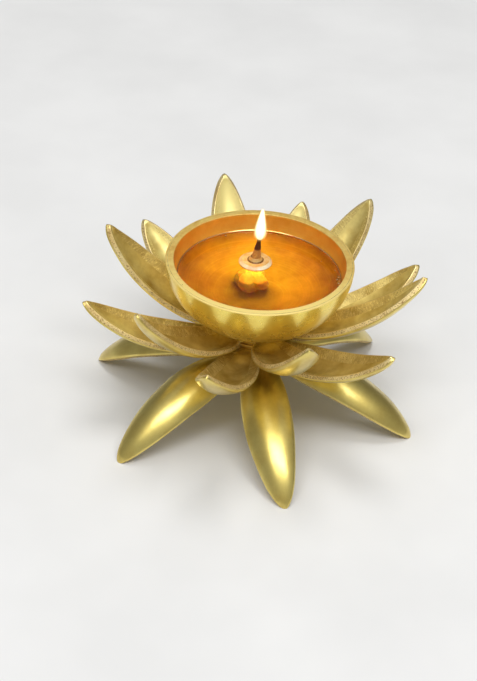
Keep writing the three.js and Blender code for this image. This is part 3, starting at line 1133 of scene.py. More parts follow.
@dataclass
class Oil:
    """The fill of lamp oil. Sizes in millimetres."""

    below_disc: float = 0.1          # the disc floats on it
    creep: float = 0.9               # how far it climbs the brass
    creep_reach: float = 3.2
    overlap: float = 0.05            # into the brass, so that no air shows between them
    bead: float = 0.62               # round of oil drawn up on the brass at its edge
    bead_inset: float = 0.5          # share of its radius that its middle stands off the brass
    bead_steps: int = 12
    bubbles: tuple[tuple[float, float, float], ...] = (
        (-7, 1.0, 0.55), (-3, 1.3, 0.8), (0, 0.9, 0.6), (2, 2.2, 0.5), (5, 1.0, 0.7), (14, 2.0, 0.4),
        (29, 6.0, 0.4), (118, 1.4, 0.5), (122, 1.2, 0.35), (-64, 1.6, 0.4), (-60, 1.2, 0.5), (-24, 1.3, 0.4),
    )                                # degrees round, distance from the brass and radius
    afloat: float = 0.3              # share of its radius that a bubble's middle stands over the oil
    bubble_steps: int = 10
    top_steps: int = 11
    creep_steps: int = 12
    deep_steps: int = 24
    segments: int = 160

    def __post_init__(self) -> None:
        """Read the oil's level from the frame."""
        self.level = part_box("wick_disc")[0].z / MM - self.below_disc

    def edge(self, bowl: Bowl, finish: Material, skin: Material) -> None:
        """Add what gathers where the oil meets the brass.

        Args:
            bowl: The bowl that holds it.
            finish: The wet line's finish.
            skin: The bubbles' material.
        """
        height = self.level + self.creep
        wall = bowl.inner_radius_at(height)
        profile = []
        for i in range(self.bead_steps + 1):
            angle = 2 * math.pi * i / self.bead_steps
            reach = wall - self.bead * (self.bead_inset - math.cos(angle))
            profile.append((reach, height + self.bead * math.sin(angle)))
        place_piece(turned(profile, self.segments).build("oil_wet_line", [finish]), "lamp", None)
        froth = Skin()
        for degrees, inward, radius in self.bubbles:
            way = math.radians(degrees)
            reach = bowl.inner_radius_at(self.level) - inward
            centre = Vector((reach * math.cos(way), reach * math.sin(way), self.level + radius * self.afloat))
            angles = [math.pi * i / self.bubble_steps for i in range(self.bubble_steps + 1)]
            ball = [(radius * math.sin(angle), -radius * math.cos(angle)) for angle in angles]
            froth.join(turned(ball, 2 * self.bubble_steps, centre=centre))
        place_piece(froth.build("oil_bubbles", [skin]), "lamp", None)

    def build(self, bowl: Bowl, finish: Material) -> None:
        """Pour the oil into the bowl.

        Args:
            bowl: The bowl that holds it.
            finish: The oil's material.
        """
        top = self.level + self.creep
        wall = bowl.inner_radius_at(top)
        flat = wall - self.creep_reach
        profile: list[Point2] = [(flat * i / self.top_steps, self.level) for i in range(self.top_steps + 1)]
        for i in range(1, self.creep_steps):
            share = i / self.creep_steps
            profile.append((wall - self.creep_reach * (1 - share), self.level + self.creep * share ** 3))
        profile.append((wall + self.overlap, top))
        start = math.asin(min(1.0, (bowl.rim - top) / bowl.inner_depth))
        for i in range(1, self.deep_steps + 1):
            angle = start + (math.pi / 2 - start) * i / self.deep_steps
            radius = bowl.inner_radius * max(0.0, math.cos(angle)) ** bowl.fullness
            drop = bowl.inner_depth * math.sin(angle)
            on_axis = i == self.deep_steps
            profile.append((0.0 if on_axis else radius + self.overlap, bowl.rim - drop - self.overlap))
        skin = turned(profile[::-1], self.segments)
        place_piece(skin.build("oil_fill", [finish]), "lamp", None)


class WickZone(Enum):
    """The two states of the wick's cotton, in the order of its finishes."""

    STEM = 0
    STEEPED = 1      # under the disc, full of oil


@dataclass
class Wick:
    """The cotton wick: a gathered foot on the bowl's floor and a twisted stem. Sizes in millimetres."""

    base_radius: float = 8.6
    base_height: float = 14.0
    clear: float = 0.45              # between the foot and the brass
    foot_shift: Point2 = (-1.4, -6.0)    # how far the foot has slid from under the disc
    lobes: int = 4
    swell: float = 0.14              # share of the radius that a lobe stands out
    fuzz: float = 0.05               # and the cotton's own unevenness there
    sleeve_radius: float = 3.7
    stem_radius: float = 2.5
    tip_radius: float = 1.15
    under_disc: float = 0.3          # where the thick part ends, under the disc
    bend: float = 2.0                # how far from there the slide and the lean start
    char: float = 91.0               # level where the cotton has burnt brown
    char_edge: Point2 = (0.6, 1.6)   # the browning starts under that level and ends over it
    lean: float = 0.1                # the stem leans towards +X by this share of its height over the disc
    strands: int = 9
    strand_depth: float = 0.16
    twist_turns: float = 2.2
    crowding: float = 1.15           # how much closer the rings stand at the foot
    segments: int = 120
    steps: int = 110

    def __post_init__(self) -> None:
        """Read the wick's place from the frame."""
        low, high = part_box("wick")
        disc_low, disc_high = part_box("wick_disc")
        self.centre = (disc_low + disc_high) / 2 / MM
        self.foot = low.z / MM
        self.tip = high.z / MM
        self.shoulder = disc_low.z / MM - self.under_disc

    def lean_at(self, height: float) -> float:
        """Return how far the stem has leant at a height."""
        return self.lean * max(0.0, height - self.shoulder - self.bend)

    def burns(self) -> Point2:
        """Return the heights in metres where the cotton starts to brown and where it is black."""
        return (self.char - self.char_edge[0]) * MM, (self.char + self.char_edge[1]) * MM

    def axis_at(self, height: float) -> Vector:
        """Return where the wick's axis runs, with the foot's slide and the stem's lean.

        Args:
            height: The level.

        Returns:
            The axis's place at that level.
        """
        share = eased(min(1.0, max(0.0, (self.shoulder - self.bend - height) / self.base_height)))
        slide = Vector(self.foot_shift) * share
        return Vector((self.centre.x + self.lean_at(height) + slide.x, self.centre.y + slide.y, height))

    def radius_at(self, height: float, bowl: Bowl) -> Point2:
        """Return how thick the wick is.

        Args:
            height: The level.
            bowl: The bowl whose floor it stands on.

        Returns:
            The mean radius, and how much of the lobes shows there.
        """
        offset = math.hypot(self.centre.x, self.centre.y)
        side = bowl.inner_height_at(offset + self.base_radius * (1 + self.swell)) + self.clear
        marks = [                    # height, mean radius and lobes, up the wick
            (self.foot, 0.0, 0.0), (self.foot + (side - self.foot) * 0.35, self.base_radius * 0.62, 0.6),
            (side, self.base_radius * 0.97, 1.0), (side + self.base_height * 0.25, self.base_radius, 1.0),
            (side + self.base_height * 0.55, self.base_radius * 0.9, 1.0),
            (side + self.base_height * 0.82, self.base_radius * 0.6, 0.7),
            (side + self.base_height, self.sleeve_radius * 1.1, 0.25),
            (self.shoulder - 0.3, self.sleeve_radius, 0.1), (self.shoulder, self.stem_radius, 0.0),
            (self.char - 4.5, self.stem_radius * 0.97, 0.0), (self.char, self.stem_radius * 0.74, 0.0),
            (self.char + 4.5, self.tip_radius, 0.0), (self.tip - 1.0, self.tip_radius * 0.7, 0.0),
            (self.tip, 0.0, 0.0),
        ]
        for (z0, r0, l0), (z1, r1, l1) in zip(marks, marks[1:]):
            if height <= z1:
                share = eased((height - z0) / max(HAIR, z1 - z0))
                return r0 + (r1 - r0) * share, l0 + (l1 - l0) * share
        return 0.0, 0.0

    def build(self, bowl: Bowl, finishes: list[Material]) -> None:
        """Gather and twist the wick.

        Args:
            bowl: The bowl that it stands in.
            finishes: The stem's cotton, and the steeped cotton under the disc.
        """
        skin = Skin()
        rings = []
        for i in range(1, self.steps):
            share = i / self.steps
            height = self.foot + (self.tip - self.foot) * share ** self.crowding
            radius, lobed = self.radius_at(height, bowl)
            turn = self.twist_turns * 2 * math.pi * share
            ring = []
            for j in range(self.segments):
                angle = 2 * math.pi * j / self.segments
                lobe = self.swell * lobed * (abs(math.cos(self.lobes * angle / 2 + turn * 0.3)) * 2 - 1)
                strand = abs(math.sin(self.strands * (angle + turn) / 2))
                tuft = noise.noise(Vector((4 * math.cos(angle), 4 * math.sin(angle), height * 0.5)))
                out = radius * (1 + lobe + self.fuzz * tuft * lobed)
                out -= self.strand_depth * (1 - strand) * min(1, radius)
                point = self.axis_at(height) + Vector((out * math.cos(angle), out * math.sin(angle), 0))
                ring.append(skin.add_point(point * MM, height * MM, (angle + turn) * self.stem_radius * MM))
            rings.append(ring)
        under = (self.shoulder - self.foot) / (self.tip - self.foot)
        steeped = round(under ** (1 / self.crowding) * self.steps) - 1
        skin.add_rings(rings[:steeped + 1], [WickZone.STEEPED.value] * self.segments)
        skin.add_rings(rings[steeped:], [WickZone.STEM.value] * self.segments)
        for ring, height, zone in ((rings[0], self.foot, WickZone.STEEPED), (rings[-1], self.tip, WickZone.STEM)):
            pole = skin.add_point(self.axis_at(height) * MM, height * MM)
            for j in range(self.segments):
                pair = (ring[j], ring[(j + 1) % self.segments])
                skin.add_face((*(pair[::-1] if zone is WickZone.STEEPED else pair), pole), zone.value)
        place_piece(skin.build("wick_twisted", finishes, sharp_degrees=80.0), "wick", "wick_cotton", "wick")


class DiscZone(Enum):
    """The surfaces of the glass disc, in the order of its finishes."""

    GLASS = 0
    SOOT_AND_SHADE = 1         # painted shade round its foot, where it stands in the oil, and sooty glass round its collar
    HIGHLIGHT_SHOULDER = 2       # the sloping shoulder, paler: a painted highlight


@dataclass
class Disc:
    """The pressed glass disc that the wick is drawn through. Sizes in millimetres."""

    radius: float = 9.0
    thickness: float = 2.0
    bore: float = 2.7
    collar: float = 1.3
    collar_height: float = 1.9
    collar_crest: float = 0.3        # share of the collar that is left at its top
    rim: float = 0.6                 # height of the sooty edge that sits in the oil
    shoulder: float = 1.6            # slope round the top edge that catches the light
    shoulder_fall: float = 0.8       # and how far it falls on the inside
    dish: float = 0.3                # the top sinks a little between shoulder and collar
    pressed_round: float = 0.5
    soot_and_shade: tuple[float, float, float] = (0.2, 0.6, 0.45)   # painted shade under the rim's top and in from the rim, sooty glass about the collar
    segments: int = 128

    def build(self, finishes: list[Material]) -> None:
        """Press the disc.

        Args:
            finishes: The glass, the painted shade round its foot with sooty film round its collar, and its paler
                shoulder, a painted highlight.
        """
        low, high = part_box("wick_disc")
        base = low.z / MM
        top = base + self.thickness
        shoulder = self.radius - self.shoulder
        collar = self.bore + self.collar
        crest = top + self.collar_height
        corners = [
            (self.bore, base + self.thickness / 2), (self.bore, base), (self.radius, base),
            (self.radius, base + self.rim), (shoulder, top), (shoulder - self.shoulder_fall, top - self.dish),
            (collar, top - self.dish), (self.bore + self.collar * self.collar_crest, crest), (self.bore, crest),
            (self.bore, base + self.thickness / 2),
        ]
        below, inward, about = self.soot_and_shade

        def finish_of(radius: float, height: float) -> int:
            """Return the finish of a strip of the disc.

            Args:
                radius: Radius of the strip's middle.
                height: Its height.

            Returns:
                The number of its zone.
            """
            dry = height > base + self.rim - below
            # Painted shade on the rim's foot in the oil, sooty glass round the collar, a painted highlight on the
            # shoulder.
            if radius > self.radius - inward and not dry or abs(radius - collar) < about and dry:
                return DiscZone.SOOT_AND_SHADE.value
            return (DiscZone.HIGHLIGHT_SHOULDER if dry and radius > shoulder else DiscZone.GLASS).value

        skin = turned(
            softened(corners, self.pressed_round, 5), self.segments, finish_of, ((low + high) / 2 / MM).xy.to_3d())
        place_piece(skin.build("disc_pressed", finishes), "wick_disc", "disc_glass", "wick_disc")


class Source(Enum):
    """The kinds of light that stand for what the flame throws."""

    FLAME = "POINT"
    UNDER_DISC = "AREA"


@dataclass
class Flame:
    """The lit flame: a bright heart inside thinner and thinner veils. Sizes in millimetres."""

    start: float = 95.4
    top: float = 116.2
    widest_share: float = 0.24
    radius: float = 3.3
    foot_round: float = 0.6          # under 1 is blunter at the bottom
    tip_share: float = 0.42          # how much of its width is left under the rounded tip
    tip_round: float = 6.0           # more is blunter at the top
    lean: float = 0.7                # the draught carries its tip towards +X
    lean_curve: float = 1.5          # over 1 leans more near the tip
    inner: Point2 = (0.04, 0.94)     # where an inner veil starts, and its height, as shares of the whole
    held: float = 6.0                # how far under the wick's tip it is squashed to
    sway: float = 3.0                # the wick's lean is taken this far over its foot
    light_drop: float = 8.0          # its light stands this far under its tip
    light_watts: float = 0.022       # the light that it throws on the bowl
    oil_watts: float = 0.028         # and down through the glass disc
    oil_light_drop: float = 0.4      # from this far under the disc's foot
    oil_light_width: float = 22.0
    light_colour: str = "#FFEDB4"
    scales: tuple[float, ...] = (0.62, 0.74, 0.87, 1.0, 1.14)
    segments: int = 48
    steps: int = 48

    def veil(self, name: str, centre: Vector, scale: float, finish: Material) -> Piece:
        """Build one veil.

        Args:
            name: The piece's name.
            centre: A point on the wick's axis, in millimetres.
            scale: Its size against the heart's.
            finish: Its material.

        Returns:
            The veil.
        """
        skin = Skin()
        rings = []
        for i in range(1, self.steps):
            share = i / self.steps
            if share < self.widest_share:
                width = math.sin(share / self.widest_share * math.pi / 2) ** self.foot_round
            else:
                above = (share - self.widest_share) / (1 - self.widest_share)
                width = (1 - (1 - self.tip_share) * eased(above)) * math.sqrt(1 - above ** self.tip_round)
            reach = self.radius * scale * width
            start, rise = self.inner if scale < 1 else (0.0, 1.0)
            height = self.start + (self.top - self.start) * (start + share * rise)
            shift = self.lean * share ** self.lean_curve
            ring = []
            for j in range(self.segments):
                angle = 2 * math.pi * j / self.segments
                out = Vector((shift + reach * math.cos(angle), reach * math.sin(angle), 0))
                place = Vector((centre.x, centre.y, height)) + out
                ring.append(skin.add_point(place * MM, share, share))
            rings.append(ring)
        skin.add_rings(rings, [0] * self.segments)
        skin.add_face(tuple(reversed(rings[0])))
        skin.add_face(tuple(rings[-1]))
        return place_piece(skin.build(name, [finish]), "wick", None)

    def build(self, wick: Wick, finishes: list[Material]) -> None:
        """Light the wick.

        Args:
            wick: The wick that it burns on.
            finishes: Each veil's glow, from the heart outwards.
        """
        axis = wick.centre + Vector((wick.lean_at(self.start + self.sway), 0, 0))
        for number, (scale, finish) in enumerate(zip(self.scales, finishes)):
            piece = self.veil(f"flame_veil_{number + 1}", axis, scale, finish)
            piece.visible_glossy = False
            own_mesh(piece)
        self.shine("flame_light", Source.FLAME, wick, self.top - self.light_drop, self.light_watts)
        self.shine(
            "light_through_disc", Source.UNDER_DISC, wick, wick.shoulder - self.oil_light_drop, self.oil_watts)

    def shine(self, name: str, source: Source, wick: Wick, level: float, watts: float) -> None:
        """Add one light over or under the disc, where the flame's light reaches.

        Args:
            name: The light's name.
            source: A point in the flame, or a round area that faces down into the oil.
            wick: The wick whose axis it stands on.
            level: Its height in millimetres.
            watts: Its power.
        """
        light = bpy.data.lights.new(name, source.value)
        light.energy = watts
        light.color = linear(self.light_colour)[:3]
        if source is Source.UNDER_DISC:
            light.shape = "DISK"
            light.size = self.oil_light_width * MM
        else:
            light.shadow_soft_size = self.radius * MM
        stand = bpy.data.objects.new(name, light)
        stand.location = Vector((wick.centre.x, wick.centre.y, level)) * MM
        stand.visible_camera = stand.visible_glossy = False
        bpy.context.scene.collection.objects.link(stand)


# Finishes other than brass

@dataclass(frozen=True)
class ZincPlate:
    """Mild steel bolt and washer, electroplated with zinc: grey, a little blue, softly shiny."""

    name: str = "zinc_plated_steel"
    colour: str = "#A9ABAC"
    stained: str = "#7A766E"
    roughness: tuple[float, float] = (0.3, 0.45)         # where clean, and where stained
    patch_mm: float = 3.0
    plate_mm: float = 0.01

    def material(self) -> Material:
        """Build the finish's node material.

        Returns:
            The material.
        """
        material, tree = new_material(self.name)
        place = add_node(tree, "ShaderNodeTexCoord").outputs["Object"]
        patches = add_node(tree, "ShaderNodeTexNoise", values={
            "Scale": per_mm(self.patch_mm), "Detail": 5.0, "Roughness": 0.6,
        }, links={"Vector": place}).outputs["Fac"]
        colour = add_node(tree, "ShaderNodeValToRGB", links={"Fac": patches}, stops=[
            (0.3, self.stained), (0.65, self.colour),
        ])
        gloss = add_node(tree, "ShaderNodeMapRange", values={
            "From Min": NOISE_LOW, "From Max": NOISE_HIGH, "To Min": self.roughness[1],
            "To Max": self.roughness[0],
        }, links={"Value": patches})
        bump = add_node(tree, "ShaderNodeBump", values={
            "Strength": 1.0, "Distance": self.plate_mm * MM,
        }, links={"Height": patches})
        shader = add_node(tree, "ShaderNodeBsdfPrincipled", values={"Metallic": 1.0}, links={
            "Base Color": colour.outputs["Color"], "Roughness": gloss.outputs["Result"],
            "Normal": bump.outputs["Normal"],
        })
        add_node(tree, "ShaderNodeOutputMaterial", links={"Surface": shader.outputs[0]})
        return material


@dataclass(frozen=True)
class OiledCotton:
    """Twisted cotton wool soaked in lamp oil: translucent amber fibre, charred where it burns."""

    name: str = "oiled_cotton"
    wet: str = "#E0A860"
    deep: str = "#C07A2C"
    scorched: str = "#8A4A28"
    charred: str = "#4A2014"
    fibre_mm: float = 0.5            # tufts, since a single fibre is too fine to show
    fibre_depth_mm: float = 0.12
    ragged: float = 0.5              # how unevenly the burn creeps down the fibres
    roughness: float = 0.45
    wet_film: Point2 = (0.3, 0.2)    # weight and roughness of the oil on its surface
    soak: float = 0.35               # share of the light that passes under its surface
    soak_mm: float = 1.5             # and how far it spreads there

    def material(self, burn_from: float, burn_to: float) -> Material:
        """Build the finish's node material.

        Args:
            burn_from: Height in metres where the cotton starts to brown.
            burn_to: Height in metres where it is black.

        Returns:
            The material.
        """
        material, tree = new_material(self.name)
        place = add_node(tree, "ShaderNodeTexCoord").outputs["Object"]
        fibres = add_node(tree, "ShaderNodeTexNoise", values={
            "Scale": per_mm(self.fibre_mm), "Detail": 4.0, "Roughness": 0.7,
        }, links={"Vector": place}).outputs["Fac"]
        cotton = add_node(tree, "ShaderNodeValToRGB", links={"Fac": fibres}, stops=[
            (0.35, self.deep), (0.65, self.wet),
        ])
        height = add_node(tree, "ShaderNodeSeparateXYZ", links={"Vector": place}).outputs["Z"]
        burnt = add_node(tree, "ShaderNodeMapRange", values={
            "From Min": burn_from, "From Max": burn_to, "To Min": 0.0, "To Max": 1.0,
        }, links={"Value": height})
        creep = add_node(tree, "ShaderNodeMath", {"operation": "MULTIPLY_ADD", "use_clamp": True}, {
            1: self.ragged, 2: -self.ragged / 2,
        }, {0: fibres})
        edge = add_node(tree, "ShaderNodeMath", {"operation": "ADD", "use_clamp": True}, links={
            0: burnt.outputs["Result"], 1: creep.outputs[0],
        }).outputs[0]
        burn = add_node(tree, "ShaderNodeValToRGB", links={"Fac": edge}, stops=[
            (0.0, self.wet), (0.3, self.scorched), (0.6, self.charred),
        ])
        mask = add_node(tree, "ShaderNodeValToRGB", links={"Fac": edge}, stops=[
            (0.05, "#000000"), (0.25, "#FFFFFF"),
        ])
        mixed = add_node(tree, "ShaderNodeMix", {"data_type": "RGBA"}, links={
            "Factor": mask.outputs["Color"], "A": cotton.outputs["Color"], "B": burn.outputs["Color"],
        })
        bump = add_node(tree, "ShaderNodeBump", values={
            "Strength": 1.0, "Distance": self.fibre_depth_mm * MM,
        }, links={"Height": fibres})
        shader = add_node(tree, "ShaderNodeBsdfPrincipled", values={
            "Roughness": self.roughness, "Subsurface Weight": self.soak, "Subsurface Scale": self.soak_mm * MM,
            "Coat Weight": self.wet_film[0], "Coat Roughness": self.wet_film[1],
        }, links={"Base Color": mixed.outputs["Result"], "Normal": bump.outputs["Normal"]})
        add_node(tree, "ShaderNodeOutputMaterial", links={"Surface": shader.outputs[0]})
        return material


@dataclass(frozen=True)
class PressedGlass:
    """Pressed soda glass filmed with oil: mostly clear, tinted warm by the oil and by painted flame light."""

    name: str
    tint: str
    film: str                        # where oil and soot lie on it
    clear: float = 0.35              # share of the light that passes
    film_mm: float = 3.0
    roughness: tuple[float, float] = (0.08, 0.22)        # where clean, and where filmed
    ior: float = 1.5

    def material(self) -> Material:
        """Build the finish's node material.

        Returns:
            The material.
        """
        material, tree = new_material(self.name)
        place = add_node(tree, "ShaderNodeTexCoord").outputs["Object"]
        film = add_node(tree, "ShaderNodeTexNoise", values={
            "Scale": per_mm(self.film_mm), "Detail": 3.0,
        }, links={"Vector": place}).outputs["Fac"]
        colour = add_node(tree, "ShaderNodeValToRGB", links={"Fac": film}, stops=[
            (NOISE_LOW, self.film), (NOISE_HIGH, self.tint),
        ])
        gloss = add_node(tree, "ShaderNodeMapRange", values={
            "To Min": self.roughness[0], "To Max": self.roughness[1],
        }, links={"Value": film})
        shader = add_node(tree, "ShaderNodeBsdfPrincipled", values={
            "IOR": self.ior, "Transmission Weight": self.clear,
        }, links={"Base Color": colour.outputs["Color"], "Roughness": gloss.outputs["Result"]})
        add_node(tree, "ShaderNodeOutputMaterial", links={"Surface": shader.outputs[0]})
        return material


@dataclass(frozen=True)
class LampOil:
    """Mustard or sesame lamp oil: clear, deep amber where it is deep, wet and level on top."""

    name: str = "lamp_oil"
    ior: float = 1.47
    surface: str = "#FFFFFF"
    amber: str = "#FFF800"           # what a deep fill of it leaves of white light
    density_per_m: float = 60.0
    gloss_level: float = 0.06        # low, because the room that it would mirror is the studio's
    ripple_mm: float = 18.0
    ripple_depth_mm: float = 0.04

    def material(self) -> Material:
        """Build the oil's node material.

        Returns:
            The material.
        """
        material, tree = new_material(self.name)
        place = add_node(tree, "ShaderNodeTexCoord").outputs["Object"]
        ripple = add_node(tree, "ShaderNodeTexNoise", values={
            "Scale": per_mm(self.ripple_mm), "Detail": 1.0,
        }, links={"Vector": place}).outputs["Fac"]
        bump = add_node(tree, "ShaderNodeBump", values={
            "Strength": 1.0, "Distance": self.ripple_depth_mm * MM,
        }, links={"Height": ripple})
        shader = add_node(tree, "ShaderNodeBsdfPrincipled", values={
            "Base Color": linear(self.surface), "IOR": self.ior, "Transmission Weight": 1.0, "Roughness": 0.0,
            "Specular IOR Level": self.gloss_level,
        }, links={"Normal": bump.outputs["Normal"]})
        depth = add_node(tree, "ShaderNodeVolumeAbsorption", values={
            "Color": linear(self.amber), "Density": self.density_per_m,
        })
        add_node(tree, "ShaderNodeOutputMaterial", links={"Surface": shader.outputs[0], "Volume": depth.outputs[0]})
        return material


@dataclass(frozen=True)
class FlameGlow:
    """Burning oil vapour: glowing soot that is white-hot in the heart and orange at the rim."""

    name: str
    low: str                         # at its foot
    high: str                        # and further up
    strength: float
    cover: float                     # share of the light behind that the veil hides

    def material(self) -> Material:
        """Build the veil's node material, brighter up the flame by its own height share.

        Returns:
            The material.
        """
        material, tree = new_material(self.name)
        share = add_node(tree, "ShaderNodeAttribute", {"attribute_name": "along"}).outputs["Fac"]
        colour = add_node(tree, "ShaderNodeValToRGB", links={"Fac": share}, stops=[
            (0.05, self.low), (0.35, self.high),
        ])
        glow = add_node(tree, "ShaderNodeEmission", values={"Strength": self.strength}, links={
            "Color": colour.outputs["Color"],
        })
        fade = add_node(tree, "ShaderNodeMapRange", values={
            "From Min": 0.0, "From Max": 0.3, "To Min": 0.0, "To Max": self.cover,
        }, links={"Value": share})
        clear = add_node(tree, "ShaderNodeBsdfTransparent")
        mixed = add_node(tree, "ShaderNodeMixShader", links={
            0: fade.outputs["Result"], 1: clear.outputs[0], 2: glow.outputs[0],
        })
        add_node(tree, "ShaderNodeOutputMaterial", links={"Surface": mixed.outputs[0]})
        return material


# Studio

@dataclass(frozen=True)
class Softbox:
    """A square studio light that faces the lamp. Sizes in metres, angles in degrees."""

    name: str
    azimuth: float                   # 0 is in front of the lamp, 90 to its right
    elevation: float
    distance: float
    size: tuple[float, float]
    radiance: float                  # how bright its face is, where 1 is paper white
    colour: str = "#FFFFFF"

    def build(self, target: Vector) -> None:
        """Hang the light.

        Args:
            target: The point that it faces.
        """
        light = bpy.data.lights.new(self.name, "AREA")
        light.shape = "RECTANGLE"
        light.size, light.size_y = self.size
        light.energy = self.radiance * math.pi * self.size[0] * self.size[1]
        light.color = linear(self.colour)[:3]
        across, up = math.radians(self.azimuth), math.radians(self.elevation)
        away = Vector((math.sin(across) * math.cos(up), -math.cos(across) * math.cos(up), math.sin(up)))
        stand = bpy.data.objects.new(self.name, light)
        stand.location = target + away * self.distance
        stand.rotation_euler = (-away).to_track_quat("-Z", "Y").to_euler()
        bpy.context.scene.collection.objects.link(stand)


@dataclass
class Studio:
    """The table, the light and the camera. Camera angles in degrees, sizes in millimetres."""

    picture: tuple[int, int] = (477, 681)
    focal_pixels: float = 1454.5
    distance: float = 767.8
    elevation: float = 33.395
    aim_height: float = 92.82
    yaw: float = -0.633
    pitch: float = -3.244
    roll: float = 3.939
    sensor_mm: float = 36.0
    clip_metres: Point2 = (0.05, 20.0)
    target_share: float = 0.6        # share of the bowl's height that the lights face
    table_metres: float = 24.0
    table_colour: str = "#E8E8E8"
    table_mottle: str = "#E2E2E2"
    table_patch_mm: float = 90.0
    table_roughness: float = 0.85
    horizon: str = "#8C8C8A"
    wall: str = "#949492"
    ceiling: str = "#DCDCDA"
    front_share: float = 1.3         # how bright the room is in front of the lamp
    back_share: float = 0.5          # and behind it
    # The wide front light draws the long highlights down the petals, and the small top light draws
    # the shadows under them.
    lights: tuple[Softbox, ...] = (
        Softbox("front_softbox", 5, 62, 2.6, (2.9, 0.82), 5.6),
        Softbox("top_softbox", 175, 78, 2.6, (1.0, 0.8), 7.8),
    )

    def camera(self) -> None:
        """Set the camera where the photograph was taken from."""
        def swung(first: Vector, second: Vector, degrees: float) -> tuple[Vector, Vector]:
            """Return two square directions, the first swung by an angle towards the second."""
            cosine, sine = math.cos(math.radians(degrees)), math.sin(math.radians(degrees))
            return first * cosine + second * sine, second * cosine - first * sine

        up = math.radians(self.elevation)
        forward = Vector((0, math.cos(up), -math.sin(up)))
        right = Vector((1, 0, 0))
        above = Vector((0, math.sin(up), math.cos(up)))
        forward, right = swung(forward, right, self.yaw)
        forward, above = swung(forward, above, self.pitch)
        right, above = swung(right, above, self.roll)
        data = bpy.data.cameras.new("camera")
        data.sensor_width = self.sensor_mm
        data.lens = self.focal_pixels * self.sensor_mm / max(self.picture)
        data.clip_start, data.clip_end = self.clip_metres
        stand = bpy.data.objects.new("camera", data)
        place = Vector((0, -self.distance * math.cos(up), self.aim_height + self.distance * math.sin(up))) * MM
        turned_by = Matrix((right, above, -forward)).transposed().to_4x4()
        stand.matrix_world = Matrix.Translation(place) @ turned_by
        bpy.context.scene.collection.objects.link(stand)
        bpy.context.scene.camera = stand

    def table(self) -> None:
        """Lay the pale table: matt paper with the faintest unevenness."""
        material, tree = new_material("studio_paper")
        place = add_node(tree, "ShaderNodeTexCoord").outputs["Object"]
        cloudy = add_node(tree, "ShaderNodeTexNoise", values={
            "Scale": per_mm(self.table_patch_mm), "Detail": 3.0,
        }, links={"Vector": place}).outputs["Fac"]
        colour = add_node(tree, "ShaderNodeValToRGB", links={"Fac": cloudy}, stops=[
            (0.35, self.table_mottle), (0.65, self.table_colour),
        ])
        shader = add_node(tree, "ShaderNodeBsdfPrincipled", values={"Roughness": self.table_roughness}, links={
            "Base Color": colour.outputs["Color"],
        })
        add_node(tree, "ShaderNodeOutputMaterial", links={"Surface": shader.outputs[0]})
        half = self.table_metres / 2
        mesh = bpy.data.meshes.new("table")
        corners = [(-half, -half, 0), (half, -half, 0), (half, half, 0), (-half, half, 0)]
        mesh.from_pydata(corners, [], [(0, 1, 2, 3)])
        mesh.materials.append(material)
        table = bpy.data.objects.new("table", mesh)
        bpy.context.scene.collection.objects.link(table)

    def room(self) -> None:
        """Light the room softly, palest at the ceiling and darker behind the lamp."""
        world = bpy.data.worlds.new("room")
        world.use_nodes = True
        tree = world.node_tree
        tree.nodes.clear()
        direction = add_node(tree, "ShaderNodeTexCoord").outputs["Generated"]
        parts = add_node(tree, "ShaderNodeSeparateXYZ", links={"Vector": direction}).outputs
        colour = add_node(tree, "ShaderNodeValToRGB", links={"Fac": parts["Z"]}, stops=[
            (0.0, self.horizon), (0.7, self.wall), (0.93, self.ceiling),
        ])
        share = add_node(tree, "ShaderNodeMapRange", values={
            "From Min": -1.0, "From Max": 1.0, "To Min": self.front_share, "To Max": self.back_share,
        }, links={"Value": parts["Y"]})
        light = add_node(tree, "ShaderNodeBackground", links={
            "Color": colour.outputs["Color"], "Strength": share.outputs["Result"],
        })
        add_node(tree, "ShaderNodeOutputWorld", links={"Surface": light.outputs[0]})
        bpy.context.scene.world = world

    def build(self, rim: float) -> None:
        """Set up the studio.

        Args:
            rim: Height of the bowl's rim.
        """
        bpy.context.scene.view_settings.view_transform = "Standard"
        self.camera()
        self.table()
        self.room()
        target = Vector((0, 0, rim * self.target_share)) * MM
        for light in self.lights:
            light.build(target)


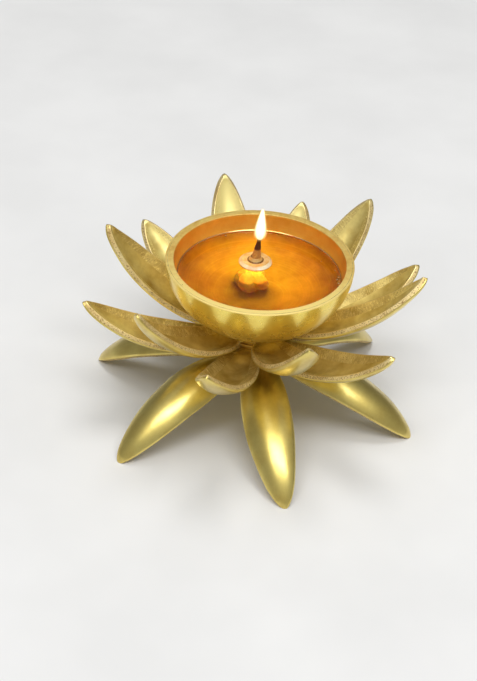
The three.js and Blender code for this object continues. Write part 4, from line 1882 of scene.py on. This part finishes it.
class Works:
    """The finishes of this lamp's pieces, each material made once."""

    def __init__(self) -> None:
        """Make every material, in the order of each piece's zones."""
        self.petal = [finish.material() for finish in (
            # Wheel-buffed back: long soft highlights over pale gold, with a few casting pinholes.
            BrassFinish(
                "buffed_petal_back_brass", "#F2DE82", "#CFB55E", coat=0.5, roughness=(0.3, 0.42),
                grain_depth_mm=0.003, pit_share=0.12, pit_radius_mm=0.3),
            # Filed side edge: matt, with brown cast skin left in its low spots.
            BrassFinish(
                "filed_petal_edge_brass", "#F6E2A6", "#C8AA6A", metal=0.7, roughness=(0.5, 0.62), grain_mm=0.35,
                grain=Grain.CROSSWISE, grain_run_mm=3.0, grain_depth_mm=0.03, grain_tint=0.45, speckle_share=0.4,
                speckle_colour="#94703C", speckle_mm=0.7),
            # Burnished corner: a thin pale line between the edge and the dish.
            BrassFinish(
                "burnished_petal_ridge_brass", "#F8E6A6", "#DCBE78", metal=0.85, roughness=(0.34, 0.44),
                grain_depth_mm=0.004),
            # Satin dish: old gold that no wheel reaches, with a painted sheen that makes the petals at the back
            # paler.
            BrassFinish(
                "satin_petal_face_brass", "#FFEFA0", "#B08E30", metal=0.86, coat=0.2, painted_sheen=(0.8, 52, 88),
                tarnish_share=0.38, roughness=(0.44, 0.56), grain=Grain.CROSSWISE, grain_mm=0.55,
                grain_run_mm=5.0, grain_depth_mm=0.025, tarnish_mm=16.0, grain_tint=0.4, pit_share=0.12,
                pit_radius_mm=0.35),
            # Outer part of the dish: short file strokes that break the light into grains, with the same painted
            # sheen at the back.
            BrassFinish(
                "filed_petal_margin_brass", "#FFEEA2", "#B0903E", metal=0.84, coat=0.2, painted_sheen=(0.8, 52, 88),
                roughness=(0.46, 0.58), grain=Grain.CROSSWISE, grain_mm=0.8, grain_run_mm=2.0,
                grain_depth_mm=0.04, grain_tint=0.7, tarnish_mm=14.0, speckle_share=0.1,
                speckle_colour="#AC8A4E", speckle_mm=0.6),
        )]
        self.bowl = [finish.material() for finish in (
            # Buffed outside: the lamp's brightest gold, which mirrors the petals in soft flames.
            BrassFinish(
                "buffed_bowl_brass", "#FFEA7C", "#F4D462", metal=0.9, coat=0.3, roughness=(0.24, 0.32),
                grain_mm=0.5, grain_run_mm=40.0, grain_depth_mm=0.002, swell_mm=12.0, pit_share=0.15,
                pit_spacing_mm=6.0, pit_radius_mm=0.3),
            # Filed lip: satin and spotted, with a painted sheen that makes it paler in front.
            BrassFinish(
                "filed_bowl_lip_brass", "#FFE48A", "#DCAF54", metal=0.6, painted_sheen=(0.5, 0, -45),
                tarnish_share=0.4, roughness=(0.4, 0.52), grain_mm=0.6, grain_run_mm=4.0, grain_depth_mm=0.02,
                grain_tint=0.5, tarnish_mm=5.0, pit_share=0.2, pit_spacing_mm=4.0, pit_radius_mm=0.3),
            # Oiled inside: orange, partly from the oil's film and partly painted flame light.
            BrassFinish(
                "oiled_flame_lit_bowl_brass", "#FFCC5C", "#EFA63A", metal=0.7, roughness=(0.4, 0.5), grain_mm=0.6,
                grain_run_mm=40.0, grain_depth_mm=0.002),
            # Brass under the oil: gold seen through amber, in broad turned rings.
            BrassFinish(
                "brass_under_oil", "#EAC24A", "#AE7C24", metal=0.75, roughness=(0.38, 0.48), grain_mm=1.2,
                grain_run_mm=60.0, grain_depth_mm=0.01, tarnish_mm=24.0, grain_tint=0.2),
            # Dark line round the lip: a thin thread of darker colour on the flat, with no groove under it.
            BrassFinish(
                "dark_lip_line", "#FFE898", "#6E5220", metal=0.6, tarnish_share=0.42, roughness=(0.4, 0.52),
                tarnish_mm=6.0),
        )]
        # Turned hub: fine rings, duller than the petals because nothing rubs it.
        self.hub = BrassFinish(
            "turned_hub_brass", "#D2B26A", "#9C7E48", roughness=(0.35, 0.5), grain_mm=0.4,
            grain_run_mm=30.0, grain_depth_mm=0.006, grain_tint=0.3).material()
        self.zinc = ZincPlate().material()
        self.disc = [finish.material() for finish in (
            # Clear top; rim with painted shade at its foot and sooty glass round its collar; and a paler shoulder,
            # a painted highlight.
            PressedGlass("pressed_glass", "#FFE09C", "#F0B45C"),
            PressedGlass("shaded_rim_sooty_collar_glass", "#B07A44", "#54300F", 0.2, 0.8),
            PressedGlass("highlight_glass_shoulder", "#FFF2CC", "#E4A860", 0.15, 6.0),
        )]
        self.oil = LampOil().material()
        # Skin of a bubble: all but clear, with a warm rim.
        self.bubble = PressedGlass("oil_bubble_skin", "#FFE2A0", "#F5C060", 0.75).material()
        # Pale brass bead at the oil's edge, nearly a mirror: a painted highlight standing in for the oil meniscus's
        # glint, shown as one bright thread.
        self.wet_line = BrassFinish(
            "meniscus_glint_brass", "#FFE6B0", "#E8A850", roughness=(0.08, 0.14), grain_depth_mm=0.0005,
            swell_depth_mm=0.01).material()
        # Each veil is yellower and thinner than the one inside it.
        self.flame = [FlameGlow(*glow).material() for glow in (
            ("flame_heart", "#FFF2C8", "#FFFDF4", 3.0, 1.0),
            ("flame_white", "#FFE6A8", "#FFFAE6", 2.4, 0.6),
            ("flame_cream", "#FFD888", "#FFF2C8", 1.8, 0.45),
            ("flame_yellow", "#FFC45A", "#FFE4A0", 1.4, 0.3),
            ("flame_rim", "#FFA838", "#FFCE7C", 1.1, 0.16),
        )]

    def cotton(self, burns: Point2) -> list[Material]:
        """Return the wick's two cottons.

        Args:
            burns: Heights in metres where the cotton starts to brown and where it is black.

        Returns:
            The dry stem, and the foot that stands in the oil and glows through.
        """
        steeped = OiledCotton("steeped_cotton", "#CC9440", "#A4722E", soak=0.85, soak_mm=6.0)
        return [finish.material(*burns) for finish in (OiledCotton(), steeped)]


def main() -> None:
    """Build every sub-assembly in order."""
    logging.basicConfig(level=logging.INFO, format="%(name)s: %(message)s")
    works = Works()
    Flower().build(works.petal)
    bowl = Bowl()
    bowl.build(works.bowl)
    Stack().build(works.hub, works.zinc)
    oil = Oil()
    oil.build(bowl, works.oil)
    oil.edge(bowl, works.wet_line, works.bubble)
    wick = Wick()
    wick.build(bowl, works.cotton(wick.burns()))
    Disc().build(works.disc)
    Flame().build(wick, works.flame)
    Studio().build(bowl.rim)


if __name__ == "__main__":
    main()
